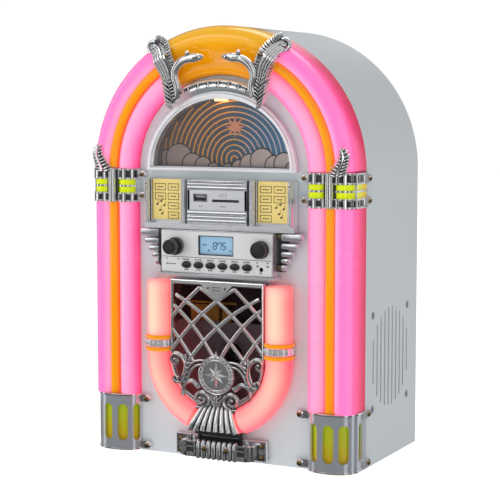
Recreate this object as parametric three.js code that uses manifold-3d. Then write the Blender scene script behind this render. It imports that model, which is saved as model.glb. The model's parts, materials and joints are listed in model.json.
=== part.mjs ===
// Tabletop jukebox: a radio and CD player in an arched cabinet.
// Millimetres. +Z is up, +X is to the viewer's right, +Y goes to the back.
// Drawn with y = 0 on the front panel's face and z = 0 under the cabinet, then centred at the end.

import * as THREE from 'three';
import { mergeVertices } from 'three/addons/utils/BufferGeometryUtils.js';
import Module from 'manifold-3d';

const wasm = await Module();
wasm.setup();

// ---- main sizes ----

const GAP = 0.3;
const ARCH_Z = 251;
const CABINET_R = 125;
const WALL = 3;
const SHELL_FRONT = 20.3;
const REAR_Y = 142;
const PANEL_R = 82.7;
const FOOT_HEIGHT = 3;
const Y_SHIFT = -57.1;

const LOBE_IN = 92;
const LOBE_OUT = 116;
const LOBE_R = 9;
const LOBE_Y = -3;
const COLUMN_BACK = 20;
const GROOVE = [100.4, 109];
const CROWN_HALF_ANGLE = 27.5 * Math.PI / 180;

const SOCKET_TOP = 51.5;
const COLLAR = [223.5, 231.7, 243.4, 252.8];

const CD_Z = 91;
const TUBE_R = 11.8;
const TUBE_BEND_R = 57.8;
const TUBE_Y = -8;
const TUBE_TOP = 156.5;
const TUBE_END_ANGLE = -66 * Math.PI / 180;
const DOOR_BACK = -0.5;
const GRILLE_R = 45.6;
const WELL_R = 62.5;
const HINGE = { y: -6, z: 24 };

const RADIO_FRONT = -13.6;
const BUTTON_X = [-28.5, -16.8, -5.1, 6.7, 18.4, 30.1];
const BUTTON_Z = 171.1;
const KNOB_Z = 187;
const VOLUME_X = -38.5;
const TUNING_X = 43.5;

const SPEAKER = { y: 77.5, z: 89.6, r: 44, screw: 40.6 };

// ---- helpers ----

// Turns a three.js geometry into a solid, facing outward.
function solid(geometry) {
  const bare = geometry.clone();
  bare.deleteAttribute('normal');
  bare.deleteAttribute('uv');
  const merged = mergeVertices(bare, 1e-4);
  const position = merged.attributes.position.array;
  const index = merged.index.array;
  const triangles = [];
  let volume = 0;
  for (let i = 0; i < index.length; i += 3) {
    const [a, b, c] = [index[i], index[i + 1], index[i + 2]];
    if (a === b || b === c || c === a) {
      continue;
    }
    const [p, q, r] = [a, b, c].map((k) => new THREE.Vector3().fromArray(position, 3 * k));
    volume += p.dot(q.cross(r));
    triangles.push(a, b, c);
  }
  if (volume < 0) {
    triangles.reverse();
  }
  return new wasm.Manifold(new wasm.Mesh({
    numProp: 3,
    vertProperties: new Float32Array(position),
    triVerts: new Uint32Array(triangles),
  }));
}

function box(x, y, z) {
  const geometry = new THREE.BoxGeometry(Math.abs(x[1] - x[0]), y[1] - y[0], z[1] - z[0]);
  geometry.translate((x[0] + x[1]) / 2, (y[0] + y[1]) / 2, (z[0] + z[1]) / 2);
  return solid(geometry);
}

// A box on one side of the cabinet: x runs outward from the middle.
function sideBox(side, x, y, z) {
  return box([side * x[0], side * x[1]], y, z);
}

function extruded(outline, depth) {
  const shape = new THREE.Shape(outline.map(([u, v]) => new THREE.Vector2(u, v)));
  return new THREE.ExtrudeGeometry(shape, { depth, bevelEnabled: false, steps: 1 });
}

// An (x, z) outline given depth along Y.
function prismY(outline, [front, back]) {
  const geometry = extruded(outline, back - front);
  geometry.rotateX(Math.PI / 2);
  geometry.translate(0, back, 0);
  return solid(geometry);
}

// A (y, z) outline given width along X.
function prismX(outline, [left, right]) {
  const geometry = extruded(outline, right - left);
  geometry.applyMatrix4(new THREE.Matrix4().set(0, 0, 1, left, 1, 0, 0, 0, 0, 1, 0, 0, 0, 0, 0, 1));
  return solid(geometry);
}

// An (x, y) outline given height along Z.
function prismZ(outline, [bottom, top]) {
  const geometry = extruded(outline, top - bottom);
  geometry.translate(0, 0, bottom);
  return solid(geometry);
}

function arcPoints(cx, cy, rx, ry, from, to, steps) {
  const points = [];
  for (let i = 0; i <= steps; i += 1) {
    const a = (from + (to - from) * i / steps) * Math.PI / 180;
    points.push([cx + rx * Math.cos(a), cy + ry * Math.sin(a)]);
  }
  return points;
}

function ring(cx, cy, rx, ry, count) {
  return arcPoints(cx, cy, rx, ry, 0, 360, count).slice(0, count);
}

// A turned solid about a line along Y, from [radius, y] points.
function turnedY(x, z, profile, segments) {
  const points = profile.map(([r, y]) => new THREE.Vector2(r, y));
  const geometry = new THREE.LatheGeometry(points, segments);
  geometry.translate(x, 0, z);
  return solid(geometry);
}

function join(pieces) {
  return pieces.reduce((whole, piece) => whole.add(piece));
}

function cut(whole, pieces) {
  return pieces.reduce((rest, piece) => rest.subtract(piece), whole);
}

// A section carried through stations, each a function from a section point to a point in space.
function swept(section, stations, side) {
  const outline = section.map(([u, v]) => new THREE.Vector2(u, v));
  if (THREE.ShapeUtils.isClockWise(outline)) {
    outline.reverse();
  }
  const count = outline.length;
  const positions = [];
  for (const station of stations) {
    for (const point of outline) {
      const [x, y, z] = station([point.x, point.y]);
      positions.push(side * x, y, z);
    }
  }
  const index = [];
  for (let k = 0; k + 1 < stations.length; k += 1) {
    for (let i = 0; i < count; i += 1) {
      const j = (i + 1) % count;
      const [a, b, c, d] = [k * count + i, k * count + j, (k + 1) * count + j, (k + 1) * count + i];
      index.push(a, b, c, a, c, d);
    }
  }
  const last = (stations.length - 1) * count;
  for (const [a, b, c] of THREE.ShapeUtils.triangulateShape(outline, [])) {
    index.push(c, b, a, last + a, last + b, last + c);
  }
  const geometry = new THREE.BufferGeometry();
  geometry.setAttribute('position', new THREE.Float32BufferAttribute(positions, 3));
  geometry.setIndex(index);
  return solid(geometry);
}

const onColumn = (z) => ([r, y]) => [r, y, z];

function onArc(centreZ, angle) {
  return ([r, y]) => [r * Math.cos(angle), y, centreZ + r * Math.sin(angle)];
}

function arcStations(centreZ, from, to, steps) {
  return Array.from({ length: steps + 1 }, (_, i) => onArc(centreZ, from + (to - from) * i / steps));
}

// ---- outlines ----

// The cabinet's arch: straight sides up to ARCH_Z, then a half circle.
function archOutline(radius, bottom, steps) {
  return [[-radius, bottom], [radius, bottom], ...arcPoints(0, ARCH_Z, radius, radius, 0, 180, steps)];
}

// The dome window: a half ellipse standing on a straight sill.
function domeOutline(halfWidth, sill, rise) {
  return arcPoints(0, sill, halfWidth, rise, 0, 180, 24);
}

// The door's outline: straight sides and a half circle below, round the disc's centre.
function doorOutline(radius, top) {
  return [[radius, top], [-radius, top], ...arcPoints(0, CD_Z, radius, radius, 180, 360, 20)];
}

// Room for lamps and wires behind the translucent mouldings.
const LAMP_ROOM = [
  [121.5, COLUMN_BACK], [121.5, -7], [111.8, -7], [111.8, 2.5],
  [98, 2.5], [98, -7], [86.5, -7], [86.5, COLUMN_BACK],
];

// The column's section: two round lobes with a groove between them, open at the back.
function columnSection(back) {
  return [
    [83, back],
    ...arcPoints(LOBE_IN, LOBE_Y, LOBE_R, LOBE_R, 180, 339, 6),
    [GROOVE[0], 0],
    [GROOVE[1], 0],
    ...arcPoints(LOBE_OUT, LOBE_Y, LOBE_R, LOBE_R, 219, 360, 6),
    [125, back],
    ...LAMP_ROOM.map(([x, y]) => [x, Math.min(y, back)]),
  ];
}

// The same section with its groove closed, for the crown and the chrome bands.
function closedSection(radius) {
  return [
    [LOBE_IN - radius, COLUMN_BACK],
    ...arcPoints(LOBE_IN, LOBE_Y, radius, radius, 180, 325, 6),
    ...arcPoints(LOBE_OUT, LOBE_Y, radius, radius, 215, 360, 6),
    [LOBE_OUT + radius, COLUMN_BACK],
    ...LAMP_ROOM,
  ];
}

function socketSection(inset) {
  return [
    [81 + inset, COLUMN_BACK],
    ...arcPoints(103.5, 6, 22.5 - inset, 20 - inset, 180, 360, 14),
    [126 - inset, COLUMN_BACK],
  ];
}

// A slot with round ends, standing upright.
function slotOutline(u, low, high, halfWidth) {
  return [
    ...arcPoints(u, high - halfWidth, halfWidth, halfWidth, 0, 180, 4),
    ...arcPoints(u, low + halfWidth, halfWidth, halfWidth, 180, 360, 4),
  ];
}

// ---- parts ----

const parts = [];

function add(name, colour, shape, finish = {}) {
  parts.push({ name, colour, shape, finish });
}

const CHROME = { metalness: 1, roughness: 0.2 };
const GLOW = { roughness: 0.35, emissiveIntensity: 0.4 };

function cabinetShell() {
  const depth = [SHELL_FRONT, REAR_Y];
  const holes = [prismY(archOutline(CABINET_R - WALL, WALL, 28), [depth[0] - 1, depth[1] + 1])];
  for (const side of [-1, 1]) {
    const wall = side > 0 ? [120, 130] : [-130, -120];
    for (let i = 0; i < 10; i += 1) {
      const off = (i - 4.5) * 8.8;
      const half = Math.sqrt(SPEAKER.r ** 2 - off ** 2);
      const y = SPEAKER.y + off;
      holes.push(box(wall, [y - 1.4, y + 1.4], [SPEAKER.z - half, SPEAKER.z + half]));
    }
    for (const [dy, dz] of [[-1, -1], [-1, 1], [1, -1], [1, 1]]) {
      const centre = [SPEAKER.y + dy * SPEAKER.screw, SPEAKER.z + dz * SPEAKER.screw];
      holes.push(prismX(ring(...centre, 4, 4, 8), wall));
    }
  }
  return cut(prismY(archOutline(CABINET_R, 0, 28), depth), holes);
}

function frontBaffle() {
  const plate = prismY(archOutline(PANEL_R, 0, 24), [0, 4]);
  const skirt = prismY(archOutline(PANEL_R, 0, 24), [4, 20]);
  const step = prismY(archOutline(PANEL_R, WALL + GAP, 24), [19, 23.3]);
  const skirtHole = prismY(archOutline(PANEL_R - 3, 6.5, 24), [4, 24]);
  const brim = prismY(archOutline(CABINET_R - WALL - GAP, WALL + GAP, 28), [20.3, 23.3]);
  const openings = [
    prismY(doorOutline(WELL_R, 152), [-1, 5]),
    box([-50, 50], [-1, 5], [167, 198]),
    box([-27, 27], [-1, 5], [220, 236]),
    prismY(domeOutline(66, 255.5, 60.5), [-1, 5]),
  ];
  return cut(join([plate, skirt, step, brim]), [skirtHole, ...openings]);
}

function rearPanel() {
  const holes = [box([-11.3, 11.3], [135, 145], [13.7, 26.3])];
  for (let i = 0; i < 6; i += 1) {
    holes.push(box([-30, 30], [135, 145], [200 + 10 * i, 204 + 10 * i]));
  }
  return cut(prismY(archOutline(CABINET_R - WALL - GAP, WALL + GAP, 28), [138.3, 141.3]), holes);
}

function speaker(side) {
  const flange = prismX([[-46, -46], [46, -46], [46, 46], [-46, 46]], [0, 3]);
  const basket = solid(new THREE.LatheGeometry([
    [0, -34], [30, -34], [30, -20], [45, 0], [45, 1], [0, 1],
  ].map(([r, h]) => new THREE.Vector2(r, h)), 16).rotateZ(-Math.PI / 2));
  const cone = solid(new THREE.LatheGeometry([
    [0, -15], [10, -15], [38, 0], [38, 5], [0, 5],
  ].map(([r, h]) => new THREE.Vector2(r, h)), 16).rotateZ(-Math.PI / 2));
  const whole = cut(join([flange, basket]), [cone]);
  const turned = side > 0 ? whole : whole.rotate([0, 0, 180]);
  return turned.translate([side * 118.6, SPEAKER.y, SPEAKER.z]);
}

function collar(side) {
  const [low, lowTop, highBottom, top] = COLLAR;
  const section = closedSection(LOBE_R + 1.2);
  const bands = [[low, lowTop], [highBottom, top]].map(([a, b]) => {
    const band = swept(section, [onColumn(a), onColumn(b)], side);
    const cheeks = [[98.5, 100.4], [109, 110.9]].map((x) => sideBox(side, x, [-13.8, -5], [a, b]));
    return join([band, ...cheeks]).subtract(sideBox(side, GROOVE, [-11.8, 0], [a - 1, b + 1]));
  });
  const leaf = [
    [118.5, 270], [123, 263], [124.5, 256], [121, 249], [116, 249], [112.5, 256], [114, 263],
  ].map(([x, z]) => [side * x, z]);
  const tabs = [[226.5, 231.7], [244.5, 251]].map((z) => sideBox(side, [75.5, 83], [-3, -GAP], z));
  const hoops = cut(join(bands), [sideBox(side, [78, 83], [-GAP, 21], [low - 1, top + 1])]);
  return join([
    hoops,
    sideBox(side, [98.5, 110.9], [-13.8, -11.8], [low, top]),
    sideBox(side, [83, 86.5], [17, 20], [low, top]),
    sideBox(side, [121.5, 125], [17, 20], [low, top]),
    prismY(leaf, [-15, -12.4]),
    ...tabs,
    sideBox(side, [125.3, 126.8], [14, 27], [225, 231.7]),
    sideBox(side, [125.3, 126.8], [14, 27], [244.5, 251.5]),
  ]);
}

function footSocket(side) {
  const outer = swept(socketSection(0), [onColumn(1), onColumn(SOCKET_TOP)], side);
  const inner = swept(socketSection(3), [onColumn(4), onColumn(SOCKET_TOP + 1)], side);
  const turns = side > 0 ? [-34, 6, 44] : [-60, -22, 16, 54];
  const windows = turns.map((degrees) => {
    const cutter = prismY(slotOutline(0, 10, 42, 4.6), [-30, -12]);
    return cutter.rotate([0, 0, side * degrees]).translate([side * 103.5, 4, 0]);
  });
  if (side > 0) windows.push(prismX(slotOutline(9, 10, 42, 3.5), [120, 130]));
  const tabs = [[2, 9], [44, SOCKET_TOP]].flatMap((z) => [
    sideBox(side, [71.5, 83], [-4, -GAP], z),
    sideBox(side, [125.3, 126.8], [16.5, 28], z),
  ]);
  const relief = sideBox(side, [78, 83], [-GAP, 21], [0, SOCKET_TOP + 1]);
  return join([cut(outer, [inner, relief, ...windows]), ...tabs]);
}

function footLight(side) {
  const outer = swept(socketSection(3.3), [onColumn(4.3), onColumn(SOCKET_TOP - GAP)], side);
  const inner = swept(socketSection(5.5), [onColumn(4), onColumn(SOCKET_TOP)], side);
  return outer.subtract(inner);
}

function lightStrip(side) {
  const section = [[100.7, -11.5], [108.7, -11.5], [108.7, -GAP], [100.7, -GAP]];
  const end = Math.PI / 2 - CROWN_HALF_ANGLE - 0.004;
  const stations = [onColumn(51.8), onColumn(ARCH_Z), ...arcStations(ARCH_Z, 0, end, 10).slice(1)];
  return swept(section, stations, side);
}

const PHOENIX = [
  [31, 325], [34.4, 334.6], [31.1, 342], [22.8, 344.3], [15.2, 344.4], [9.3, 348], [12.5, 351.9],
  [21.1, 351.7], [24.5, 355.4], [29.5, 350.5], [35.3, 347], [39.4, 351], [46.9, 359.9], [56.7, 366],
  [64, 366], [71, 361], [63.2, 354.7], [54.3, 350.5], [51, 343.2], [46.9, 334.5], [45.2, 323.4],
  [49, 315.5], [42, 310], [35, 315],
];

function mediaPanel() {
  const pieces = [
    box([-72, 72], [-5, -GAP], [206, 244.8]),
    box([-72, 72], [-11, -GAP], [201.5, 206.5]),
    box([-28.5, 28.5], [-13, -GAP], [206, 244.8]),
  ];
  for (const side of [-1, 1]) {
    for (const x of [[30.5, 35.3], [66.9, 71.8]]) {
      pieces.push(sideBox(side, x, [-13, -GAP], [206, 244.8]));
    }
  }
  return cut(join(pieces), [
    box([-26, 26], [-10.6, 1], [221, 235]),
    box([-22.9, -9.3], [-14, -10], [225.8, 232.6]),
    box([-4.6, 21.2], [-14, -10], [225.9, 228.1]),
  ]);
}

function usbSocket() {
  const shell = box([-22.6, -9.6], [-12.6, -1], [226.1, 232.3]);
  const cavity = box([-22, -10.2], [-13, -3], [226.7, 231.7]);
  const tongue = box([-21, -11.2], [-11.5, -2], [229.4, 231.2]);
  return join([shell.subtract(cavity), tongue]);
}

function cardSocket() {
  const body = box([-5.8, 22.4], [-10.2, -1], [224.4, 229.6]);
  return body.subtract(box([-4.4, 21], [-11, -3], [225.9, 228.1]));
}

// Stepped fins beside the radio, widest at the top: [outer tip, bottom, top].
const FINS = [
  [78.5, 194.3, 201.2], [74.2, 187.5, 192.8], [70.3, 181, 185.8], [66.7, 175.5, 180], [63.5, 169, 174.5],
];

function radioPanel() {
  const pieces = [
    box([-54.3, 54.3], [RADIO_FRONT, -GAP], [163.8, 201.2]),
    box([-56, 56], [-15, -GAP], [162, 164]),
  ];
  for (const side of [-1, 1]) {
    for (const [tip, bottom, top] of FINS) {
      pieces.push(sideBox(side, [54, tip], [-8, -GAP], [bottom, top]));
    }
    const web = [[54, 166], [60, 166], [77, 200], [54, 200]].map(([x, z]) => [side * x, z]);
    pieces.push(prismY(web, [-5, -GAP]));
  }
  const holes = [
    box([-51.8, 51.8], [-11.1, 1], [166.3, 198.7]),
    box([-17, 17], [-15, -10], [180, 197]),
    prismY(ring(43.3, 170, 2.1, 2.1, 10), [-16, -10]),
  ];
  for (const x of BUTTON_X) {
    holes.push(prismY(ring(x, BUTTON_Z, 4.65, 3.15, 12), [-16, -10]));
  }
  for (const x of [VOLUME_X, TUNING_X]) {
    holes.push(prismY(ring(x, KNOB_Z, 3.3, 3.3, 12), [-16, -10]));
  }
  return cut(join(pieces), holes);
}

function button(x) {
  return join([
    prismY(ring(x, BUTTON_Z, 4.35, 2.85, 12), [-16.2, -10.4]),
    prismY(ring(x, BUTTON_Z, 5.3, 4, 12), [-10.8, -9.8]),
    prismY(ring(x, BUTTON_Z, 1.5, 1.5, 8), [-9.9, -6]),
  ]);
}

function knob(x, steps) {
  const profile = [[0, -5], [3, -5], [3, -13.9]];
  profile.push([steps[0][0], -13.9]);
  for (const [radius, front] of steps) {
    const previous = profile[profile.length - 1];
    if (previous[0] !== radius) {
      profile.push([radius, previous[1]]);
    }
    profile.push([radius, front]);
  }
  profile.push([0, profile[profile.length - 1][1]]);
  return turnedY(x, KNOB_Z, profile, 20);
}

function basePlate() {
  const block = prismX([
    [-4.5, 3], [-15.6, 3], [-15.6, 14.5], [-12.5, 17], [-4.5, 17],
  ], [-36, 36]);
  const plate = box([-44, 44], [-5, -GAP], [3, 20.5]);
  const ears = [-1, 1].map((side) => {
    const round = prismX(ring(HINGE.y, HINGE.z, 2.4, 2.4, 12), side > 0 ? [18.9, 21.4] : [-21.4, -18.9]);
    const web = sideBox(side, [18.9, 21.4], [HINGE.y - 2.3, HINGE.y + 2.3], [16, HINGE.z]);
    return round.add(web);
  });
  const pin = prismX(ring(HINGE.y, HINGE.z, 1.2, 1.2, 12), [-20, 20]);
  return join([block, plate, ...ears, pin]);
}

function cdWell() {
  const outer = prismY(doorOutline(WELL_R + 2.2, 154.2), [4.3, 38]);
  const inner = prismY(doorOutline(WELL_R, 152), [4, 35.5]);
  const hub = prismY(ring(0, CD_Z, 5, 5, 16), [30, 40]);
  const pegs = [[-44, 70], [44, 70], [-44, 130], [44, 130]].map(
    ([x, z]) => prismY(ring(x, z, 3, 3, 8), [37.5, 41.7]),
  );
  return join([cut(outer, [inner, hub]), ...pegs]);
}

function cdDeck() {
  const plate = doorOutline(WELL_R - GAP, 118).slice(2);
  const outline = [
    ...plate,
    ...arcPoints(WELL_R - GAP - 14, 104, 14, 14, 0, 90, 4).slice(1),
    ...arcPoints(-(WELL_R - GAP - 14), 104, 14, 14, 90, 180, 4).slice(0, 4),
  ];
  const raised = prismY(outline, [18, 21]);
  const legs = [-40, 40].map((x) => box([x - 4, x + 4], [20, 35.2], [70, 110]));
  return join([raised, ...legs]).subtract(prismY(ring(0, CD_Z, 9, 9, 16), [10, 40]));
}

// The tube's round front, from its flat back on one side to its flat back on the other.
function tubeArc(radius, steps, end) {
  const start = Math.asin((DOOR_BACK - TUBE_Y) / radius) * 180 / Math.PI;
  return arcPoints(TUBE_BEND_R, TUBE_Y, radius, radius, start, end ?? -180 - start, steps);
}

function doorTube(side) {
  const outer = tubeArc(TUBE_R, 12);
  const inner = tubeArc(TUBE_R - 2, 6).reverse();
  const bend = arcStations(CD_Z, 0, TUBE_END_ANGLE, 8);
  const tube = swept([...outer, ...inner], [onColumn(TUBE_TOP), ...bend], side);
  const cap = swept(outer, [onColumn(TUBE_TOP - 2), onColumn(TUBE_TOP)], side);
  return join([tube, cap]);
}

// The band stops short of the grille's edge on the inner side.
function tubeBand(side) {
  const section = [...tubeArc(13.3, 11, -152), ...tubeArc(12.1, 11, -152).reverse()];
  return swept(section, [onColumn(98.5), onColumn(104)], side);
}

// A flat bar along a line of (x, z) points.
function ribbon(points, width, depth) {
  const left = [];
  const right = [];
  points.forEach(([x, z], i) => {
    const [ax, az] = points[Math.max(i - 1, 0)];
    const [bx, bz] = points[Math.min(i + 1, points.length - 1)];
    const length = Math.hypot(bx - ax, bz - az);
    const [nx, nz] = [-(bz - az) / length * width / 2, (bx - ax) / length * width / 2];
    left.push([x + nx, z + nz]);
    right.unshift([x - nx, z - nz]);
  });
  return prismY([...left, ...right], depth);
}

function bowed([x0, z0], [x1, z1], bulge, steps) {
  const length = Math.hypot(x1 - x0, z1 - z0);
  const [nx, nz] = [-(z1 - z0) / length, (x1 - x0) / length];
  return Array.from({ length: steps + 1 }, (_, i) => {
    const t = i / steps;
    const lift = 4 * t * (1 - t) * bulge;
    return [x0 + (x1 - x0) * t + nx * lift, z0 + (z1 - z0) * t + nz * lift];
  });
}

// Lattice bars rising to the right: [start, end, bulge]. The others are their mirror images.
const LATTICE = [
  [[-46, 123], [-16.5, 152], 0.5],
  [[-44, 96.5], [16.5, 151.5], 4],
  [[-28, 87], [46, 147], 6],
  [[4, 90], [46, 137.5], 3.5],
  [[24, 86], [46, 116], 1],
];

function doorGrille() {
  const depth = [-12.4, -10];
  const panel = prismY(doorOutline(GRILLE_R, 158), depth);
  const opening = prismY(doorOutline(GRILLE_R - 2.6, 155), [-13, -9]);
  const pieces = [panel.subtract(opening)];
  for (const side of [-1, 1]) {
    for (const [start, end, bulge] of LATTICE) {
      const line = bowed(start, end, bulge, 3).map(([x, z]) => [side * x, z]);
      pieces.push(ribbon(line, 2.4, depth));
    }
    const rail = bowed([14, 84], [44.5, 95], -4, 3).map(([x, z]) => [side * x, z]);
    const scroll = bowed([12, 64], [43, 76], -6, 3).map(([x, z]) => [side * x, z]);
    pieces.push(ribbon(rail, 3, depth), ribbon(scroll, 3, depth));
  }
  pieces.push(prismY([[-17, 156], [17, 156], [0, 139]], depth));
  pieces.push(prismY(ring(0, 76, 17, 17, 24), [-16, -10]));
  pieces.push(box([-3, 3], depth, [49, 62]));
  const within = prismY(doorOutline(GRILLE_R, 158), [-20, 0]);
  const aboveRibs = box([-60, 60], [-20, 0], [48.6, 170]);
  return join(pieces).intersect(within).intersect(aboveRibs);
}

function doorRibs() {
  const front = prismX([
    [DOOR_BACK, 27.5], [-22, 27.5], [-20.5, 34], [-16, 42], [-12.5, 48.2], [DOOR_BACK, 48.2],
  ], [-26, 26]);
  const taper = prismY([[-25, 27.5], [25, 27.5], [14, 48.2], [-14, 48.2]], [-23, 0]);
  const web = box([-18.3, 18.3], [HINGE.y - 1.6, HINGE.y + 1.6], [HINGE.z, 28]);
  const barrel = prismX(ring(HINGE.y, HINGE.z, 2.6, 2.6, 12), [-18.3, 18.3]);
  const bore = prismX(ring(HINGE.y, HINGE.z, 1.3, 1.3, 12), [-19, 19]);
  return join([front.intersect(taper), web, barrel]).subtract(bore);
}

// ---- assembly ----

add('cabinet_shell', '#c3c9ce', cabinetShell());
add('rear_panel', '#b4b9bd', rearPanel());
add('front_baffle', '#f1f1ef', frontBaffle());
[[-100, 36], [100, 36], [-100, 126], [100, 126]].forEach(([x, y], i) => {
  add(`rubber_foot_${i + 1}`, '#26272a', prismZ(ring(x, y, 8, 8, 16), [-FOOT_HEIGHT, -GAP]));
});

for (const [side, label] of [[-1, 'left'], [1, 'right']]) {
  const archEnd = Math.PI / 2 - CROWN_HALF_ANGLE - 0.004;
  const section = columnSection(COLUMN_BACK);
  const pillarEnds = [onColumn(SOCKET_TOP + GAP), onColumn(COLLAR[0] - GAP)];
  const lightEnds = [onColumn(COLLAR[1] + GAP), onColumn(COLLAR[2] - GAP)];
  const bird = PHOENIX.map(([x, z]) => [side * x, z]);
  const card = [[37.5, 209.5], [65, 209.5], [65, 244.2], [37.5, 244.2]].map(([x, z]) => [side * x, z]);
  add(`speaker_${label}`, '#202225', speaker(side));
  add(`pillar_${label}`, '#f06aae', swept(section, pillarEnds, side), GLOW);
  add(`arch_tube_${label}`, '#f27ab8', swept(section, arcStations(ARCH_Z, 0.026, archEnd, 10), side), GLOW);
  add(`light_strip_${label}`, '#ffa21a', lightStrip(side), GLOW);
  add(`collar_${label}`, '#d5d8dc', collar(side), CHROME);
  add(`collar_light_${label}`, '#e6f27a', swept(columnSection(16.7), lightEnds, side), GLOW);
  add(`foot_socket_${label}`, '#d5d8dc', footSocket(side), CHROME);
  add(`foot_light_${label}`, '#b9c85a', footLight(side), GLOW);
  add(`phoenix_${label}`, '#c9ccd0', prismY(bird, [-19.5, -12.6]), CHROME);
  add(`title_card_${label}`, '#e8d678', prismY(card, [-6.6, -5.3]));
  add(`door_tube_${label}`, '#ffb9a8', doorTube(side), GLOW);
  add(`tube_band_${label}`, '#d5d8dc', tubeBand(side), CHROME);
}

const crownStations = arcStations(ARCH_Z, Math.PI / 2 - CROWN_HALF_ANGLE, Math.PI / 2 + CROWN_HALF_ANGLE, 6);
add('crown_lens', '#eaa51c', swept(closedSection(LOBE_R), crownStations, 1), GLOW);

const browSection = [[73, -12.2], [79, -12.2], [79, -GAP], [73, -GAP]];
const browStations = arcStations(ARCH_Z, Math.PI / 2 - 0.42, Math.PI / 2 + 0.42, 8);
add('brow_trim', '#d5d8dc', swept(browSection, browStations, 1), CHROME);

const domeFrame = prismY(domeOutline(71.9, 252.1, 68.2), [-8.8, -GAP]);
add('dome_frame', '#c4c8cc', domeFrame.subtract(prismY(domeOutline(65.8, 255.2, 60.5), [-10, 1])), CHROME);
add('dome_lens', '#cfe0ee', prismY(domeOutline(65.4, 255.6, 59.8), [-6, -4.2]), { transparent: true, opacity: 0.3 });
add('dome_artwork', '#4a68a8', prismY(domeOutline(69, 252.6, 64), [4.3, 6.3]));

add('media_panel', '#c9ccd0', mediaPanel(), CHROME);
add('usb_socket', '#9da1a6', usbSocket(), CHROME);
add('card_socket', '#2c2e31', cardSocket());
add('radio_panel', '#1c1d20', radioPanel());
add('lcd_display', '#8fb6e6', box([-16.7, 16.7], [-12.4, -4.7], [180.3, 196.7]));
add('radio_board', '#2d6b4a', box([-51, 51], [-4.4, -2.8], [167, 198]));
add('base_plate', '#c9ccd0', basePlate(), CHROME);
add('cd_well', '#2a2c30', cdWell());
add('cd_deck', '#8a8d92', cdDeck());
add('main_board', '#2d6b4a', box([-52, 52], [42, 43.6], [62, 138]));
add('power_supply', '#8b8f94', box([-40, 40], [85, 125], [3.3, 40]));

const inlet = box([-11, 11], [127, 141.3], [14, 26]);
const inletHole = box([-8.5, 8.5], [131, 142], [16.2, 23.8]);
const pins = [-4.3, 4.3].map((x) => prismY(ring(x, 20, 1.2, 1.2, 8), [130, 139]));
add('power_inlet', '#1b1c1f', join([inlet.subtract(inletHole), ...pins]));

add('knob_volume', '#17181a', knob(VOLUME_X, [[7.85, -19], [6.4, -27.8]]));
add('knob_tuning', '#17181a', knob(TUNING_X, [[7.85, -16.5], [7.2, -21.6]]));
BUTTON_X.forEach((x, i) => add(`button_${i + 1}`, '#17181a', button(x)));

add('door_grille', '#c9ccd0', doorGrille(), CHROME);
const pane = prismY(doorOutline(GRILLE_R, 158), [-4.2, -2.4]).intersect(box([-60, 60], [-6, 0], [48.6, 170]));
add('door_window', '#3a3f47', pane, { transparent: true, opacity: 0.4 });
add('door_ribs', '#c9ccd0', doorRibs(), CHROME);

const spindle = turnedY(0, CD_Z, [[0, 13], [7, 13], [7.5, 14], [7.5, 17], [4, 17], [4, 34.5], [0, 34.5]], 20);
add('cd_spindle', '#3b3d41', spindle);

const root = new THREE.Group();
root.name = 'jukebox';
for (const { name, colour, shape, finish } of parts) {
  const mesh = shape.getMesh();
  const geometry = new THREE.BufferGeometry();
  geometry.setAttribute('position', new THREE.Float32BufferAttribute(mesh.vertProperties, mesh.numProp));
  geometry.setIndex(Array.from(mesh.triVerts));
  geometry.translate(0, Y_SHIFT, FOOT_HEIGHT);
  geometry.computeVertexNormals();
  const material = new THREE.MeshStandardMaterial({ color: colour, roughness: 0.5, flatShading: true, ...finish });
  const node = new THREE.Mesh(geometry, material);
  node.name = name;
  root.add(node);
}

export default root;
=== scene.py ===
"""Looks for a tabletop jukebox radio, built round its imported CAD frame.

Sizes are written in millimetres in the drawing's own axes: x to the right, y = 0 on the front panel
with the back positive, z = 0 under the cabinet. pt() turns them into the frame's metres.
"""
import json
import math
import random

import bmesh
import bpy
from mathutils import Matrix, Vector
from mathutils.geometry import tessellate_polygon

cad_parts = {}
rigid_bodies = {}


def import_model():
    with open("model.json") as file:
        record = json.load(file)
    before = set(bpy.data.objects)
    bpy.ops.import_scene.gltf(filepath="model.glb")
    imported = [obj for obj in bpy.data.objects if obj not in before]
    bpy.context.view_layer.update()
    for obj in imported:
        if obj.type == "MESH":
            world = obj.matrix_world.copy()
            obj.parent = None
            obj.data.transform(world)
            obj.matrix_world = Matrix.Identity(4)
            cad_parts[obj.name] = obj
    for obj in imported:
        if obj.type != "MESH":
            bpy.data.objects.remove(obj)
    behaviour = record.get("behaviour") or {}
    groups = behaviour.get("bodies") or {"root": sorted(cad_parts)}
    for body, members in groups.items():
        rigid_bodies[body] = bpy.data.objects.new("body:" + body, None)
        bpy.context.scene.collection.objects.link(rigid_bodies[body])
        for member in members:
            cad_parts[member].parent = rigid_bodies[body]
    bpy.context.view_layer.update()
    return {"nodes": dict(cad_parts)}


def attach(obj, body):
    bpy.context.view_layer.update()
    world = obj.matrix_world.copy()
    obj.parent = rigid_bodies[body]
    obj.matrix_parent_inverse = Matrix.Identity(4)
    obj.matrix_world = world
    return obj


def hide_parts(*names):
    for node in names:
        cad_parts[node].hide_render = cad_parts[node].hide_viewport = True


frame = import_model()

MM = 0.001
Y_SHIFT = -57.1
FOOT = 3.0
SIDES = ((-1, "left"), (1, "right"))

ARCH_Z = 251.0
CD_Z = 91.0
LOBE_INNER, LOBE_OUTER = 92.0, 116.0
LOBE_R = 9.0
LOBE_Y = -3.0
PANEL_EDGE = 83.1
CROWN_ANGLE = math.radians(27.5)
STUDIO_CENTRE = Vector((0, 0, 0.19))

scene = bpy.context.scene
for old in list(bpy.data.objects):
    if old.type in {"LIGHT", "CAMERA"}:
        bpy.data.objects.remove(old)


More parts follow.
